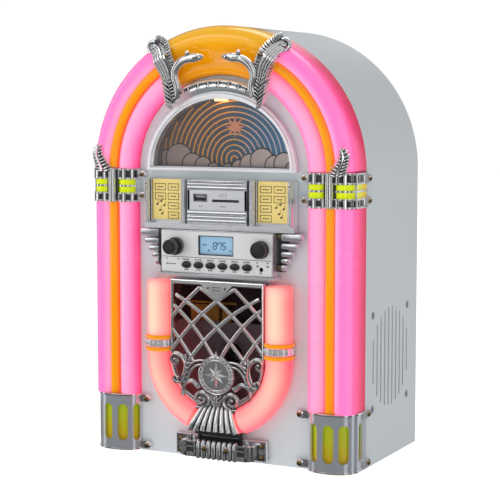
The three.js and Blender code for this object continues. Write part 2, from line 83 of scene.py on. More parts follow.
def pt(x, y, z):
    return Vector((x * MM, (y + Y_SHIFT) * MM, (z + FOOT) * MM))


def add_object(name, data):
    obj = bpy.data.objects.new(name, data)
    scene.collection.objects.link(obj)
    return obj


# ---------------------------------------------------------------- shader nodes

def feed(tree, value, socket):
    """Links an output to a socket, or sets the socket to a plain value."""
    if hasattr(value, "is_output"):
        tree.links.new(value, socket)
    else:
        socket.default_value = value


def add_maths(tree, operation, *values):
    node = tree.nodes.new("ShaderNodeMath")
    node.operation = operation
    for socket, value in zip(node.inputs, values):
        feed(tree, value, socket)
    return node.outputs[0]


def add_ramp(tree, factor, stops, interpolation="LINEAR"):
    node = tree.nodes.new("ShaderNodeValToRGB")
    node.color_ramp.interpolation = interpolation
    elements = node.color_ramp.elements
    elements.remove(elements[1])
    elements[0].position = stops[0][0]
    elements[0].color = (*stops[0][1], 1)
    for position, colour in stops[1:]:
        elements.new(position).color = (*colour, 1)
    tree.links.new(factor, node.inputs[0])
    return node.outputs["Color"]


def greys(*stops):
    return [(position, (value,) * 3) for position, value in stops]


# ---------------------------------------------------------------- camera, floor and lights

def aim(obj, target):
    obj.rotation_euler = (target - obj.location).to_track_quat("-Z", "Y").to_euler()


def make_camera():
    data = bpy.data.cameras.new("camera")
    data.sensor_width = 36
    data.lens = 108.9
    data.clip_end = 20
    obj = add_object("camera", data)
    obj.location = pt(604.7, -1151.4, 310.0)
    aim(obj, pt(-4.09, 60, 178.48))
    scene.camera = obj


def make_light(name, location, size, power):
    data = bpy.data.lights.new(name, "AREA")
    data.shape = "RECTANGLE"
    data.size, data.size_y = size
    data.energy = power
    obj = add_object(name, data)
    obj.location = location
    aim(obj, STUDIO_CENTRE)


def make_card(name, location, size, value):
    """A studio card that only reflections see."""
    mesh = bpy.data.meshes.new(name)
    w, h = size[0] / 2, size[1] / 2
    mesh.from_pydata([(-w, -h, 0), (w, -h, 0), (w, h, 0), (-w, h, 0)], [], [(0, 1, 2, 3)])
    obj = add_object(name, mesh)
    obj.location = location
    aim(obj, STUDIO_CENTRE)
    obj.visible_camera = False
    obj.visible_shadow = False
    obj.visible_diffuse = False
    material = bpy.data.materials.new(name)
    material.use_nodes = True
    nodes = material.node_tree.nodes
    nodes.clear()
    emit = nodes.new("ShaderNodeEmission")
    emit.inputs["Color"].default_value = (value, value, value, 1)
    out = nodes.new("ShaderNodeOutputMaterial")
    material.node_tree.links.new(emit.outputs[0], out.inputs["Surface"])
    mesh.materials.append(material)


def make_world():
    """A dim room for the plating to mirror: boxes of light at eye level, and a glow overhead."""
    world = bpy.data.worlds.new("studio")
    scene.world = world
    world.use_nodes = True
    tree = world.node_tree
    background = tree.nodes["Background"]
    background.inputs["Color"].default_value = (1, 1, 1, 1)
    direction = tree.nodes.new("ShaderNodeTexCoord").outputs["Generated"]
    parts = tree.nodes.new("ShaderNodeSeparateXYZ")
    turn = tree.nodes.new("ShaderNodeTexGradient")
    turn.gradient_type = "RADIAL"
    for node in (parts, turn):
        tree.links.new(direction, node.inputs[0])
    height = add_maths(tree, "MULTIPLY_ADD", parts.outputs["Z"], 0.5, 0.5)
    box_count = 8.0
    across = add_maths(tree, "FRACT", add_maths(tree, "MULTIPLY", turn.outputs["Fac"], box_count))
    boxes = add_ramp(tree, across, greys((0, 0), (0.10, 0), (0.16, 1), (0.46, 1), (0.52, 0), (1, 0)))
    band = add_ramp(tree, height, greys((0.30, 0), (0.40, 0.85), (0.66, 1), (0.74, 0)))
    room = add_ramp(tree, height, greys((0, 0.02), (0.46, 0.03), (0.60, 0.06), (0.74, 0.34), (0.95, 0.5)))
    light = add_maths(tree, "MULTIPLY_ADD", add_maths(tree, "MULTIPLY", boxes, band), 0.78, room)
    tree.links.new(light, background.inputs["Strength"])


def make_studio():
    scene.view_settings.view_transform = "Standard"
    make_world()
    make_light("key", Vector((-1.0, -1.5, 1.3)), (0.9, 0.9), 3.6)
    make_light("left", Vector((-1.5, -0.75, 0.45)), (0.45, 1.3), 4.4)
    make_light("side", Vector((1.6, -0.2, 0.8)), (0.5, 1.1), 0.4)
    make_light("top", Vector((0.1, 0.3, 1.6)), (1.2, 0.8), 8)
    make_light("front", Vector((0.75, -1.7, 0.35)), (0.3, 1.0), 1.3)
    make_card("dark_left", Vector((-0.85, -0.55, 0.2)), (0.34, 1.4), 0.012)
    make_card("dark_right", Vector((0.42, -1.25, 0.1)), (0.14, 1.4), 0.012)
    make_card("dark_low", Vector((0.0, -0.75, -0.16)), (1.6, 0.5), 0.03)


def make_primitive(name, surface, create, **sizes):
    """A studio object made by one of bmesh's own primitives."""
    mesh = bpy.data.meshes.new(name)
    bm = bmesh.new()
    create(bm, **sizes)
    bm.to_mesh(mesh)
    bm.free()
    mesh.materials.append(surface.material)
    return add_object(name, mesh)


def make_floor():
    paper = Surface("floor_paper", (0.3, 0.3, 0.3), 0.75)
    paper.mottle(12, 0.01)
    paper.bump(900, 0.02)
    paper.set("Emission Color", (1, 1, 1, 1))
    paper.set("Emission Strength", 0.97)
    floor = make_primitive("floor", paper, bmesh.ops.create_grid, x_segments=1, y_segments=1, size=6)
    floor.visible_glossy = False


def make_backdrop():
    """A plain white dome round the studio, seen only behind the object."""
    paper = Surface("backdrop_paper", (0, 0, 0), 1.0)
    paper.set("Specular IOR Level", 0.0)
    paper.set("Emission Color", (1, 1, 1, 1))
    paper.set("Emission Strength", 1.02)
    backdrop = make_primitive(
        "backdrop", paper, bmesh.ops.create_uvsphere, u_segments=48, v_segments=24, radius=5.5)
    for ray in ("diffuse", "glossy", "transmission", "volume_scatter", "shadow"):
        setattr(backdrop, f"visible_{ray}", False)


# ---------------------------------------------------------------- materials

LIFT = 1.5


class Surface:
    """A Principled material built up from small procedural layers.

    A mottled colour is shown LIFT times as bright as it is written.
    """

    def __init__(self, name, colour, roughness, metallic=0.0, coat=0.0):
        self.material = bpy.data.materials.new(name)
        self.material.use_nodes = True
        self.tree = self.material.node_tree
        self.shader = self.tree.nodes["Principled BSDF"]
        self.coords = self.tree.nodes.new("ShaderNodeTexCoord").outputs["Object"]
        self.colour = (*colour, 1)
        self.roughness = roughness
        self.set("Base Color", self.colour)
        self.set("Roughness", roughness)
        self.set("Metallic", metallic)
        self.set("Coat Weight", coat)
        self.set("Coat Roughness", 0.05)

    def set(self, socket, value):
        self.shader.inputs[socket].default_value = value

    def link(self, output, socket):
        self.tree.links.new(output, self.shader.inputs[socket])

    def node(self, kind, **values):
        node = self.tree.nodes.new(kind)
        for key, value in values.items():
            feed(self.tree, value, node.inputs[key.replace("_", " ")])
        return node

    def maths(self, operation, *values):
        return add_maths(self.tree, operation, *values)

    def noise(self, scale, detail):
        return self.node("ShaderNodeTexNoise", Vector=self.coords, Scale=scale, Detail=detail).outputs["Fac"]

    def axis(self, name):
        return self.node("ShaderNodeSeparateXYZ", Vector=self.coords).outputs[name]

    def mix(self, factor, a, b):
        node = self.tree.nodes.new("ShaderNodeMix")
        node.data_type = "RGBA"
        for i, value in ((0, factor), (6, a), (7, b)):
            feed(self.tree, value, node.inputs[i])
        return node.outputs[2]

    def mottle(self, scale, amount, source=None):
        """Small changes of tone and gloss over the surface."""
        tone = self.maths("MULTIPLY_ADD", self.noise(scale, 4), 2 * amount, LIFT - amount)
        colour = self.colour if source is None else source
        self.toned = self.node("ShaderNodeHueSaturation", Color=colour, Value=tone).outputs[0]
        self.link(self.toned, "Base Color")
        gloss = self.noise(scale * 2.3, 5)
        self.link(self.maths("MULTIPLY_ADD", gloss, self.roughness * 0.5, self.roughness * 0.75), "Roughness")

    def bump(self, scale, strength, distance=0.0004):
        node = self.node("ShaderNodeBump", Strength=strength, Distance=distance, Height=self.noise(scale, 2))
        self.link(node.outputs[0], "Normal")

    def groove_shade(self, colour, reach, power):
        """Painted shade: a darker tone laid into the grooves and crevices, masked by ambient occlusion."""
        node = self.node("ShaderNodeAmbientOcclusion", Distance=reach * MM)
        node.samples = 6
        shade_mask = self.maths("POWER", node.outputs["AO"], power)
        self.link(self.mix(shade_mask, (*colour, 1), self.toned), "Base Color")


def plain(name, colour, roughness, metallic, coat, mottle, bump):
    surface = Surface(name, colour, roughness, metallic, coat)
    surface.mottle(*mottle)
    surface.bump(*bump)
    return surface


def dusk(name, stops):
    """Printed card whose colour drifts from left to right across the dome."""
    surface = Surface(name, stops[0][1], 0.4)
    half = DOME[0] * MM
    place = surface.maths("DIVIDE", surface.maths("ADD", surface.axis("X"), half), 2 * half)
    drift = surface.maths("MULTIPLY", surface.maths("SUBTRACT", surface.noise(14, 3), 0.5), 0.3)
    surface.mottle(60, 0.12, add_ramp(surface.tree, surface.maths("ADD", place, drift), stops))
    surface.bump(1200, 0.05)
    return surface.material


def glow(name, stops, strength, roughness=0.16, layers=(), heights=(0, 1)):
    """Glossy translucent plastic lit from inside.

    Its tint follows the across attribute; besides the lens colour, that ramp paints light across the section:
    paler bands for highlights and darker edges for shade. layers are (place, colour, amount) laid over that,
    between two heights.
    """
    surface = Surface(name, stops[0][1], roughness, coat=0.6)
    attribute = surface.tree.nodes.new("ShaderNodeAttribute")
    attribute.attribute_name = "across"
    waver = surface.maths("MULTIPLY", surface.maths("SUBTRACT", surface.noise(25, 2), 0.5), 0.02)
    across = surface.maths("ADD", attribute.outputs["Fac"], waver)
    # lens colour with painted highlights and painted shade across the section
    tint_and_shade = add_ramp(surface.tree, across, stops, "B_SPLINE")
    if layers:
        low, high = ((z + FOOT) * MM for z in heights)
        place = surface.maths("DIVIDE", surface.maths("SUBTRACT", surface.axis("Z"), low), high - low)
        colour = add_ramp(surface.tree, place, [(at, tone) for at, tone, _ in layers])
        amount = add_ramp(surface.tree, place, greys(*((at, share) for at, _, share in layers)))
        tint_and_shade = surface.mix(amount, tint_and_shade, colour)
    surface.mottle(30, 0.03, tint_and_shade)
    surface.link(surface.toned, "Emission Color")
    surface.set("Emission Strength", strength)
    surface.set("Subsurface Weight", 0.15)
    surface.set("Subsurface Scale", 0.004)
    surface.bump(60, 0.04, distance=0.001)
    return surface.material


def window(name, colour, roughness):
    surface = Surface(name, colour, roughness)
    surface.mottle(30, 0.02)
    surface.bump(60, 0.01)
    surface.set("Transmission Weight", 1.0)
    surface.set("IOR", 1.05)
    clear = surface.node("ShaderNodeBsdfTransparent", Color=(*colour, 1))
    gloss = surface.node("ShaderNodeBsdfGlossy", Roughness=roughness)
    fresnel = surface.node("ShaderNodeFresnel", IOR=1.45)
    mixer = surface.tree.nodes.new("ShaderNodeMixShader")
    for node, socket in zip((fresnel, clear, gloss), mixer.inputs):
        surface.tree.links.new(node.outputs[0], socket)
    output = surface.tree.nodes["Material Output"]
    surface.tree.links.new(mixer.outputs[0], output.inputs["Surface"])
    return surface.material


# key: name, colour, roughness, metallic, coat, mottle (scale, amount), bump (scale, strength)
PLAIN = {
    "cabinet": ("cabinet_plastic", (0.385, 0.41, 0.43), 0.42, 0, 0, (14, 0.03), (2200, 0.12)),
    "seam": ("cabinet_edge", (0.42, 0.44, 0.46), 0.5, 0, 0, (30, 0.05), (2200, 0.1)),
    "field": ("medallion_field", (0.33, 0.335, 0.35), 0.24, 0.75, 0, (90, 0.1), (900, 0.1)),
    "white": ("panel_white", (0.44, 0.485, 0.505), 0.2, 0, 0.4, (20, 0.02), (300, 0.02)),
    "chrome": ("plated_chrome", (0.66, 0.67, 0.70), 0.09, 0.9, 0, (30, 0.03), (500, 0.01)),
    "bright": ("cast_chrome", (0.88, 0.89, 0.91), 0.13, 0.88, 0, (40, 0.05), (700, 0.015)),
    # relief chrome that also takes painted shade in its grooves
    "shaded_relief": ("plated_relief", (0.72, 0.73, 0.76), 0.14, 0.9, 0, (60, 0.08), (900, 0.02)),
    "medal": ("medallion_silver", (0.86, 0.87, 0.89), 0.2, 0.75, 0, (40, 0.05), (900, 0.015)),
    "pewter": ("plated_pewter", (0.47, 0.50, 0.55), 0.2, 0.7, 0, (20, 0.03), (900, 0.008)),
    "gunmetal": ("collar_recess", (0.06, 0.06, 0.065), 0.22, 1.0, 0, (70, 0.2), (900, 0.1)),
    "brass": ("screw_brass", (0.30, 0.23, 0.12), 0.3, 1.0, 0, (200, 0.3), (1500, 0.2)),
    "blackscrew": ("screw_black", (0.04, 0.04, 0.045), 0.35, 0.7, 0, (200, 0.3), (900, 0.2)),
    "satin": ("satin_silver", (0.56, 0.57, 0.59), 0.22, 0.8, 0, (50, 0.04), (1600, 0.04)),
    "face": ("radio_silver", (0.63, 0.635, 0.64), 0.32, 0.4, 0, (50, 0.03), (1800, 0.05)),
    "clearedge": ("dome_bevel", (0.60, 0.60, 0.62), 0.1, 0.3, 0.6, (60, 0.05), (500, 0.04)),
    "steel": ("plain_steel", (0.42, 0.42, 0.43), 0.3, 1.0, 0, (80, 0.12), (1200, 0.1)),
    "black": ("black_plastic", (0.012, 0.012, 0.014), 0.32, 0, 0, (60, 0.2), (1800, 0.15)),
    "key": ("key_plastic", (0.015, 0.015, 0.017), 0.25, 0, 0.3, (60, 0.2), (1800, 0.1)),
    "knob": ("knob_plastic", (0.014, 0.014, 0.016), 0.3, 0, 0.2, (80, 0.2), (1600, 0.2)),
    "dark": ("dark_recess", (0.02, 0.02, 0.024), 0.5, 0, 0, (60, 0.2), (1800, 0.1)),
    # well liner: its reddish colour paints the red light of the lamp tubes inside the well
    "liner": ("well_liner", (0.05, 0.022, 0.022), 0.45, 0, 0, (40, 0.2), (1200, 0.15)),
    "rubber": ("foot_rubber", (0.015, 0.015, 0.016), 0.7, 0, 0, (80, 0.2), (1500, 0.3)),
    "card": ("card_paper", (0.60, 0.47, 0.16), 0.6, 0, 0, (200, 0.05), (2500, 0.1)),
    "ink": ("card_ink", (0.03, 0.027, 0.02), 0.6, 0, 0, (300, 0.3), (2500, 0.1)),
    "greyink": ("panel_ink", (0.12, 0.12, 0.125), 0.5, 0, 0, (300, 0.3), (2500, 0.1)),
    "board": ("circuit_board", (0.02, 0.16, 0.09), 0.35, 0, 0, (90, 0.2), (700, 0.3)),
    "amberboard": ("amber_plastic", (0.55, 0.30, 0.02), 0.35, 0, 0, (60, 0.15), (900, 0.2)),
    "deck": ("deck_plastic", (0.30, 0.26, 0.26), 0.35, 0, 0, (40, 0.06), (1500, 0.1)),
    "cone": ("speaker_paper", (0.02, 0.02, 0.022), 0.8, 0, 0, (100, 0.3), (1200, 0.5)),
    "star": ("star_print", (0.75, 0.30, 0.16), 0.45, 0, 0, (90, 0.12), (1200, 0.05)),
    "lcd": ("lcd_backlight", (0.22, 0.38, 0.52), 0.2, 0, 0.5, (25, 0.06), (3000, 0.05)),
    "digit": ("lcd_digit", (0.01, 0.03, 0.1), 0.3, 0, 0, (100, 0.1), (3000, 0.05)),
    "lamp": ("dome_lamp", (1.0, 0.50, 0.16), 0.3, 0, 0, (100, 0.05), (900, 0.05)),
}

# painted shade in the grooves of the chrome parts, masked by ambient occlusion. key: colour, reach in mm,
# power
GROOVE_SHADE = {
    "bright": ((0.06, 0.06, 0.065), 2.0, 0.7),
    "shaded_relief": ((0.012, 0.012, 0.015), 2.6, 1.9),
    "medal": ((0.05, 0.05, 0.055), 1.5, 1.0),
}
WINDOW = {
    "glass": ("dome_plastic", (0.97, 0.98, 1.0), 0.03),
    "smoke": ("smoked_plastic", (0.74, 0.74, 0.77), 0.06),
}
DUSK = {
    "sky": ("night_print", (
        (0.0, (0.13, 0.065, 0.04)), (0.3, (0.10, 0.06, 0.05)), (0.5, (0.06, 0.075, 0.10)),
        (0.75, (0.03, 0.14, 0.26)), (1.0, (0.04, 0.20, 0.36)))),
    "ringink": ("ring_print", (
        (0.0, (0.36, 0.15, 0.04)), (0.3, (0.85, 0.38, 0.05)), (0.56, (0.90, 0.42, 0.06)),
        (0.68, (0.62, 0.50, 0.44)), (1.0, (0.50, 0.54, 0.56)))),
    "cloud": ("cloud_print", (
        (0.0, (0.20, 0.13, 0.11)), (0.35, (0.44, 0.31, 0.26)), (1.0, (0.62, 0.49, 0.42)))),
}
# the across ramps below paint highlights and shade across each lens section as well as its colour
GLOW = {
    # pink: the paler bands near 0.29-0.36 and 0.56-0.61 paint the highlight on each lobe's flank; the dark
    # ends paint shade at the edges
    "pink": ("pink_lens", (
        (0.0, (0.58, 0.02, 0.07)), (0.15, (0.66, 0.025, 0.11)), (0.22, (0.78, 0.04, 0.22)),
        (0.29, (0.86, 0.20, 0.39)), (0.36, (0.86, 0.27, 0.43)), (0.44, (0.82, 0.12, 0.28)),
        (0.5, (0.72, 0.06, 0.08)), (0.56, (0.84, 0.24, 0.38)), (0.61, (0.86, 0.30, 0.47)),
        (0.67, (0.84, 0.08, 0.33)), (0.74, (0.86, 0.19, 0.42)), (0.79, (0.74, 0.035, 0.22)),
        (0.90, (0.50, 0.015, 0.09)), (1.0, (0.42, 0.012, 0.05))), 0.28, 0.26),
    "orange": ("orange_lens", (
        (0.0, (0.56, 0.12, 0.0)), (0.3, (0.68, 0.20, 0.0)), (0.5, (0.66, 0.26, 0.0)),
        (0.7, (0.68, 0.20, 0.0)), (1.0, (0.56, 0.09, 0.0))), 0.1),
    "amber": ("amber_lens", (
        (0.0, (0.50, 0.17, 0.0)), (0.2, (0.66, 0.28, 0.0)), (0.45, (0.56, 0.19, 0.0)),
        (0.75, (0.76, 0.42, 0.0)), (1.0, (0.46, 0.20, 0.0))), 0.07),
    "lime": ("lime_lens", (
        (0.0, (0.60, 0.38, 0.0)), (0.12, (0.50, 0.52, 0.0)), (0.5, (0.50, 0.62, 0.0)),
        (0.85, (0.52, 0.56, 0.0)), (1.0, (0.62, 0.34, 0.0))), 0.1),
    "olive": ("olive_lens", (
        (0.0, (0.36, 0.20, 0.0)), (0.25, (0.34, 0.25, 0.0)), (0.6, (0.28, 0.31, 0.0)),
        (1.0, (0.25, 0.36, 0.0))), 0.12, 0.3),
    # tube: the pale middle near 0.48 paints a highlight down the tube; the dark red ends paint shade at its
    # edges
    "tube": ("tube_lens", (
        (0.0, (0.45, 0.02, 0.04)), (0.18, (0.60, 0.03, 0.05)), (0.33, (0.82, 0.13, 0.12)),
        (0.48, (0.88, 0.40, 0.28)), (0.62, (0.84, 0.17, 0.15)), (0.78, (0.66, 0.04, 0.06)),
        (1.0, (0.45, 0.02, 0.04))), 0.5, 0.3, (
        (0.0, (0.74, 0.06, 0.14), 0.75), (0.17, (0.80, 0.12, 0.18), 0.5),
        (0.42, (0.88, 0.2, 0.2), 0.3), (0.62, (0.74, 0.06, 0.12), 0.45),
        (0.72, (0.9, 0.5, 0.4), 0.2), (0.9, (0.9, 0.5, 0.4), 0.15),
        (1.0, (0.74, 0.07, 0.12), 0.6)), (8, 160)),
}
MATERIALS = {}


def make_materials():
    for key, row in PLAIN.items():
        surface = plain(*row)
        # chrome parts with painted shade darkening their grooves
        if key in GROOVE_SHADE:
            surface.groove_shade(*GROOVE_SHADE[key])
        if key == "lamp":
            surface.link(surface.toned, "Emission Color")
            surface.set("Emission Strength", 3.2)
        MATERIALS[key] = surface.material
    for kind, table in ((window, WINDOW), (dusk, DUSK), (glow, GLOW)):
        for key, row in table.items():
            MATERIALS[key] = kind(*row)


# ---------------------------------------------------------------- points and lines

def spread(start, end, steps):
    return [start + (end - start) * i / steps for i in range(steps + 1)]


def arc(cx, cy, rx, ry, start, end, steps):
    """Points on an ellipse's arc, in degrees."""
    angles = [math.radians(a) for a in spread(start, end, steps)]
    return [(cx + rx * math.cos(a), cy + ry * math.sin(a)) for a in angles]


def loop(cx, cy, rx, ry, steps):
    return arc(cx, cy, rx, ry, 0, 360, steps)[:steps]


def rect(x0, x1, z0, z1):
    return [(x0, z0), (x1, z0), (x1, z1), (x0, z1)]


def at_depth(line, y, side=1):
    """Puts flat (x, z) points at depth y, on one side of the middle."""
    return [(side * x, y, z) for x, z in line]


def flip(side, points):
    return [(side * x, y, z) for x, y, z in points]


def swell(count, base, rise, start=0.0, end=1.0):
    """Radii that swell and shrink as half a sine wave does."""
    return [base + rise * math.sin(math.pi * t) for t in spread(start, end, count - 1)]


def smooth_line(points, per_span=6):
    """A Catmull-Rom curve through points of any dimension."""
    result = []
    count = len(points)
    for i in range(count - 1):
        p0, p1, p2, p3 = (points[max(0, min(count - 1, i + k))] for k in (-1, 0, 1, 2))
        for step in range(per_span):
            t = step / per_span
            result.append(tuple(
                0.5 * (2 * b + (c - a) * t + (2 * a - 5 * b + 4 * c - d) * t * t
                       + (3 * b - a - 3 * c + d) * t ** 3)
                for a, b, c, d in zip(p0, p1, p2, p3)
            ))
    result.append(tuple(points[-1]))
    return result


def lengths(points):
    """How far along the line each point is, from 0 to 1."""
    total = [0.0]
    for a, b in zip(points, points[1:]):
        total.append(total[-1] + math.dist(a, b))
    return [value / total[-1] for value in total]


# ---------------------------------------------------------------- shapes

def smooth_by_angle(mesh, angle):
    for polygon in mesh.polygons:
        polygon.use_smooth = True
    mesh.set_sharp_from_angle(angle=math.radians(angle))


class Shape:
    """Closed pieces in drawing millimetres, gathered into one mesh."""

    def __init__(self):
        self.verts = []
        self.faces = []
        self.across = []

    def add(self, verts, faces, across=None):
        base = len(self.verts)
        self.verts.extend(tuple(v) for v in verts)
        self.faces.extend(tuple(base + i for i in face) for face in faces)
        self.across.extend(across if across is not None else [0.5] * len(verts))
        return self

    def merge(self, other, transform):
        return self.add([transform(v) for v in other.verts], other.faces, other.across)

    def skin(self, rows, closed=False, across=None):
        """Joins rows of as many points each, and caps both ends unless the run is closed."""
        count, n = len(rows), len(rows[0])
        faces = []
        for k in range(count if closed else count - 1):
            ahead = (k + 1) % count * n
            for i in range(n):
                j = (i + 1) % n
                faces.append((k * n + i, k * n + j, ahead + j, ahead + i))
        if not closed:
            faces.append(tuple(reversed(range(n))))
            faces.append(tuple((count - 1) * n + i for i in range(n)))
        return self.add([point for row in rows for point in row], faces, across)

    def prism(self, outline, depth, holes=(), plane="xz"):
        """An outline with holes, given depth along the axis its plane leaves out."""
        def place(u, v, d):
            return {"xz": (u, d, v), "yz": (d, u, v), "xy": (u, v, d)}[plane]

        rings = [list(outline), *[list(hole) for hole in holes]]
        triangles = tessellate_polygon([[Vector((u, v, 0)) for u, v in ring] for ring in rings])
        verts = [place(u, v, d) for d in depth for ring in rings for u, v in ring]
        n = len(verts) // 2
        faces = [tuple(t) for t in triangles] + [tuple(i + n for i in reversed(t)) for t in triangles]
        start = 0
        for ring in rings:
            size = len(ring)
            for i in range(size):
                a, b = start + i, start + (i + 1) % size
                faces.append((a, b, b + n, a + n))
            start += size
        return self.add(verts, faces)

    def box(self, x, y, z):
        return self.prism(rect(*sorted(x), *z), y)

    def boxes(self, xs, y, z):
        for x in xs:
            self.box(x, y, z)

    def pairs(self, xs, y, z):
        """Boxes at each x range and at its mirror image."""
        for side in (-1, 1):
            self.boxes([(side * x0, side * x1) for x0, x1 in xs], y, z)

    def sweep(self, section, stations, across=None):
        """A section of (u, v) points carried through stations, each a function to (x, y, z)."""
        rows = [[station(point) for point in section] for station in stations]
        return self.skin(rows, across=list(across) * len(stations) if across else None)

    def tube(self, points, radius, sides=10, flat=1.0, closed=False):
        """A round bar along points. radius is one number or one for each; flat squeezes it along Y."""
        radii = radius if isinstance(radius, (list, tuple)) else [radius] * len(points)
        line = [Vector(p) for p in points]
        count = len(line)
        up = Vector((0, 1, 0))
        rows = []
        for i, p in enumerate(line):
            ahead = line[(i + 1) % count] if closed else line[min(i + 1, count - 1)]
            behind = line[i - 1] if closed or i else line[0]
            tangent = (ahead - behind).normalized()
            steep = abs(tangent.dot(up)) > 0.95
            side = tangent.cross(Vector((1, 0, 0)) if steep else up).normalized()
            normal = side.cross(tangent).normalized()
            rows.append([p + side * u + normal * v * flat for u, v in loop(0, 0, radii[i], radii[i], sides)])
        return self.skin(rows, closed)

    def ring(self, x, y, z, radius, thick, steps, sides):
        """A round wire bent into a circle that faces the front."""
        return self.tube(at_depth(loop(x, z, radius, radius, steps), y), thick, sides, closed=True)

    def lathe(self, profile, centre, axis, steps, squash=1.0):
        """A solid turned about a line through centre from (radius, distance) points.

        A point may have a third number, by which every second step of it is notched.
        """
        verts = []
        rows = []
        for radius, distance, *notch in profile:
            row = []
            for i in range(1 if radius == 0 else steps):
                a = 2 * math.pi * i / steps
                r = radius - (notch[0] if notch and i % 2 else 0)
                c, s = r * math.cos(a), r * math.sin(a) * squash
                offset = {"y": (c, distance, s), "x": (distance, c, s), "z": (c, s, distance)}[axis]
                row.append(len(verts))
                verts.append(tuple(centre[k] + offset[k] for k in range(3)))
            rows.append(row)
        faces = []
        for a, b in zip(rows, rows[1:]):
            for i in range(steps):
                j = (i + 1) % steps
                corners = (a[i % len(a)], a[j % len(a)], b[j % len(b)], b[i % len(b)])
                face = tuple(dict.fromkeys(corners))
                if len(face) > 2:
                    faces.append(face)
        if len(rows[0]) > 1:
            faces.append(tuple(rows[0]))
        if len(rows[-1]) > 1:
            faces.append(tuple(reversed(rows[-1])))
        return self.add(verts, faces)

    def bead(self, centre, radius, steps=10, flat=1.0):
        angles = spread(0, math.pi, 6)
        profile = [(radius * math.sin(a), -radius * flat * math.cos(a)) for a in angles[1:-1]]
        return self.lathe([(0, -radius * flat), *profile, (0, radius * flat)], centre, "y", steps)

    def make(self, name, material, body, slot=None, replaces=(), angle=35, bevel=0.0):
        mesh = bpy.data.meshes.new(name)
        bm = bmesh.new()
        layer = bm.verts.layers.float.new("across")
        for co, value in zip(self.verts, self.across):
            bm.verts.new(pt(*co))[layer] = value
        bm.verts.ensure_lookup_table()
        for face in self.faces:
            try:
                bm.faces.new([bm.verts[i] for i in face])
            except ValueError:
                continue
        bmesh.ops.dissolve_degenerate(bm, dist=1e-6, edges=bm.edges)
        bmesh.ops.recalc_face_normals(bm, faces=bm.faces)
        bm.to_mesh(mesh)
        bm.free()
        smooth_by_angle(mesh, angle)
        mesh.materials.append(MATERIALS[material])
        obj = add_object(name, mesh)
        if bevel:
            modifier = obj.modifiers.new("edge", "BEVEL")
            modifier.width = bevel * MM
            modifier.segments = 2
            modifier.limit_method = "ANGLE"
            modifier.angle_limit = math.radians(30)
            modifier.use_clamp_overlap = True
        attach(obj, body)
        if replaces:
            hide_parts(*replaces)
        return obj


def on_side(side):
    """Stations for a straight column and for the arch, on one side of the cabinet."""
    def column(z):
        return lambda p: (side * p[0], p[1], z)

    def arch(angle):
        c, s = math.cos(angle), math.sin(angle)
        return lambda p: (side * p[0] * c, p[1], ARCH_Z + p[0] * s)

    return column, arch


def relieve(outline):
    """Keeps the inner wall clear of the front panel's edge."""
    return [(max(x, PANEL_EDGE) if y > -0.4 else x, y) for x, y in outline]


def cut_with(obj, shape):
    cutter_mesh = bpy.data.meshes.new("cutter")
    cutter_mesh.from_pydata([pt(*v) for v in shape.verts], [], shape.faces)
    bm = bmesh.new()
    bm.from_mesh(cutter_mesh)
    bmesh.ops.recalc_face_normals(bm, faces=bm.faces)
    bm.to_mesh(cutter_mesh)
    bm.free()
    cutter = add_object("cutter", cutter_mesh)
    modifier = obj.modifiers.new("cut", "BOOLEAN")
    modifier.operation = "DIFFERENCE"
    modifier.solver = "EXACT"
    modifier.use_self = True
    modifier.object = cutter
    depsgraph = bpy.context.evaluated_depsgraph_get()
    mesh = bpy.data.meshes.new_from_object(obj.evaluated_get(depsgraph))
    mesh.name = obj.name
    obj.modifiers.clear()
    obj.data = mesh
    bpy.data.objects.remove(cutter)
    smooth_by_angle(mesh, 30)


def add_screw(shape, centre, axis=(0, -1, 0), radius=2.2):
    """A cross-head pan screw, its head pointing along axis."""
    head = Shape()
    head.lathe([(0, 0.4), (radius, 0.4), (radius, -0.5), (radius * 0.8, -1.1), (radius * 0.42, -1.35),
                (radius * 0.36, -0.7), (0, -0.6)], (0, 0, 0), "y", 16)
    for angle in (0.4, 0.4 + math.pi / 2):
        c, s = math.cos(angle) * radius * 0.3, math.sin(angle) * radius * 0.3
        head.tube([(-c, -1.0, -s), (c, -1.0, s)], radius * 0.1, 4)
    turn = Vector((0, -1, 0)).rotation_difference(Vector(axis))
    shape.merge(head, lambda p: tuple(turn @ Vector(p) + Vector(centre)))


# ---------------------------------------------------------------- columns and arch

def lobed_outline():
    return [
        (LOBE_INNER - LOBE_R, 20),
        *arc(LOBE_INNER, LOBE_Y, LOBE_R, LOBE_R, 180, 339, 22),
        (100.4, -2),
        (109, -2),
        *arc(LOBE_OUTER, LOBE_Y, LOBE_R, LOBE_R, 219, 360, 22),
        (LOBE_OUTER + LOBE_R, 20),
    ]


def closed_outline(grow=0.0):
    r = LOBE_R + grow
    return [
        (LOBE_INNER - r, 20),
        *arc(LOBE_INNER, LOBE_Y, r, r, 180, 322, 20),
        *arc(LOBE_OUTER, LOBE_Y, r, r, 218, 360, 20),
        (LOBE_OUTER + r, 20),
    ]


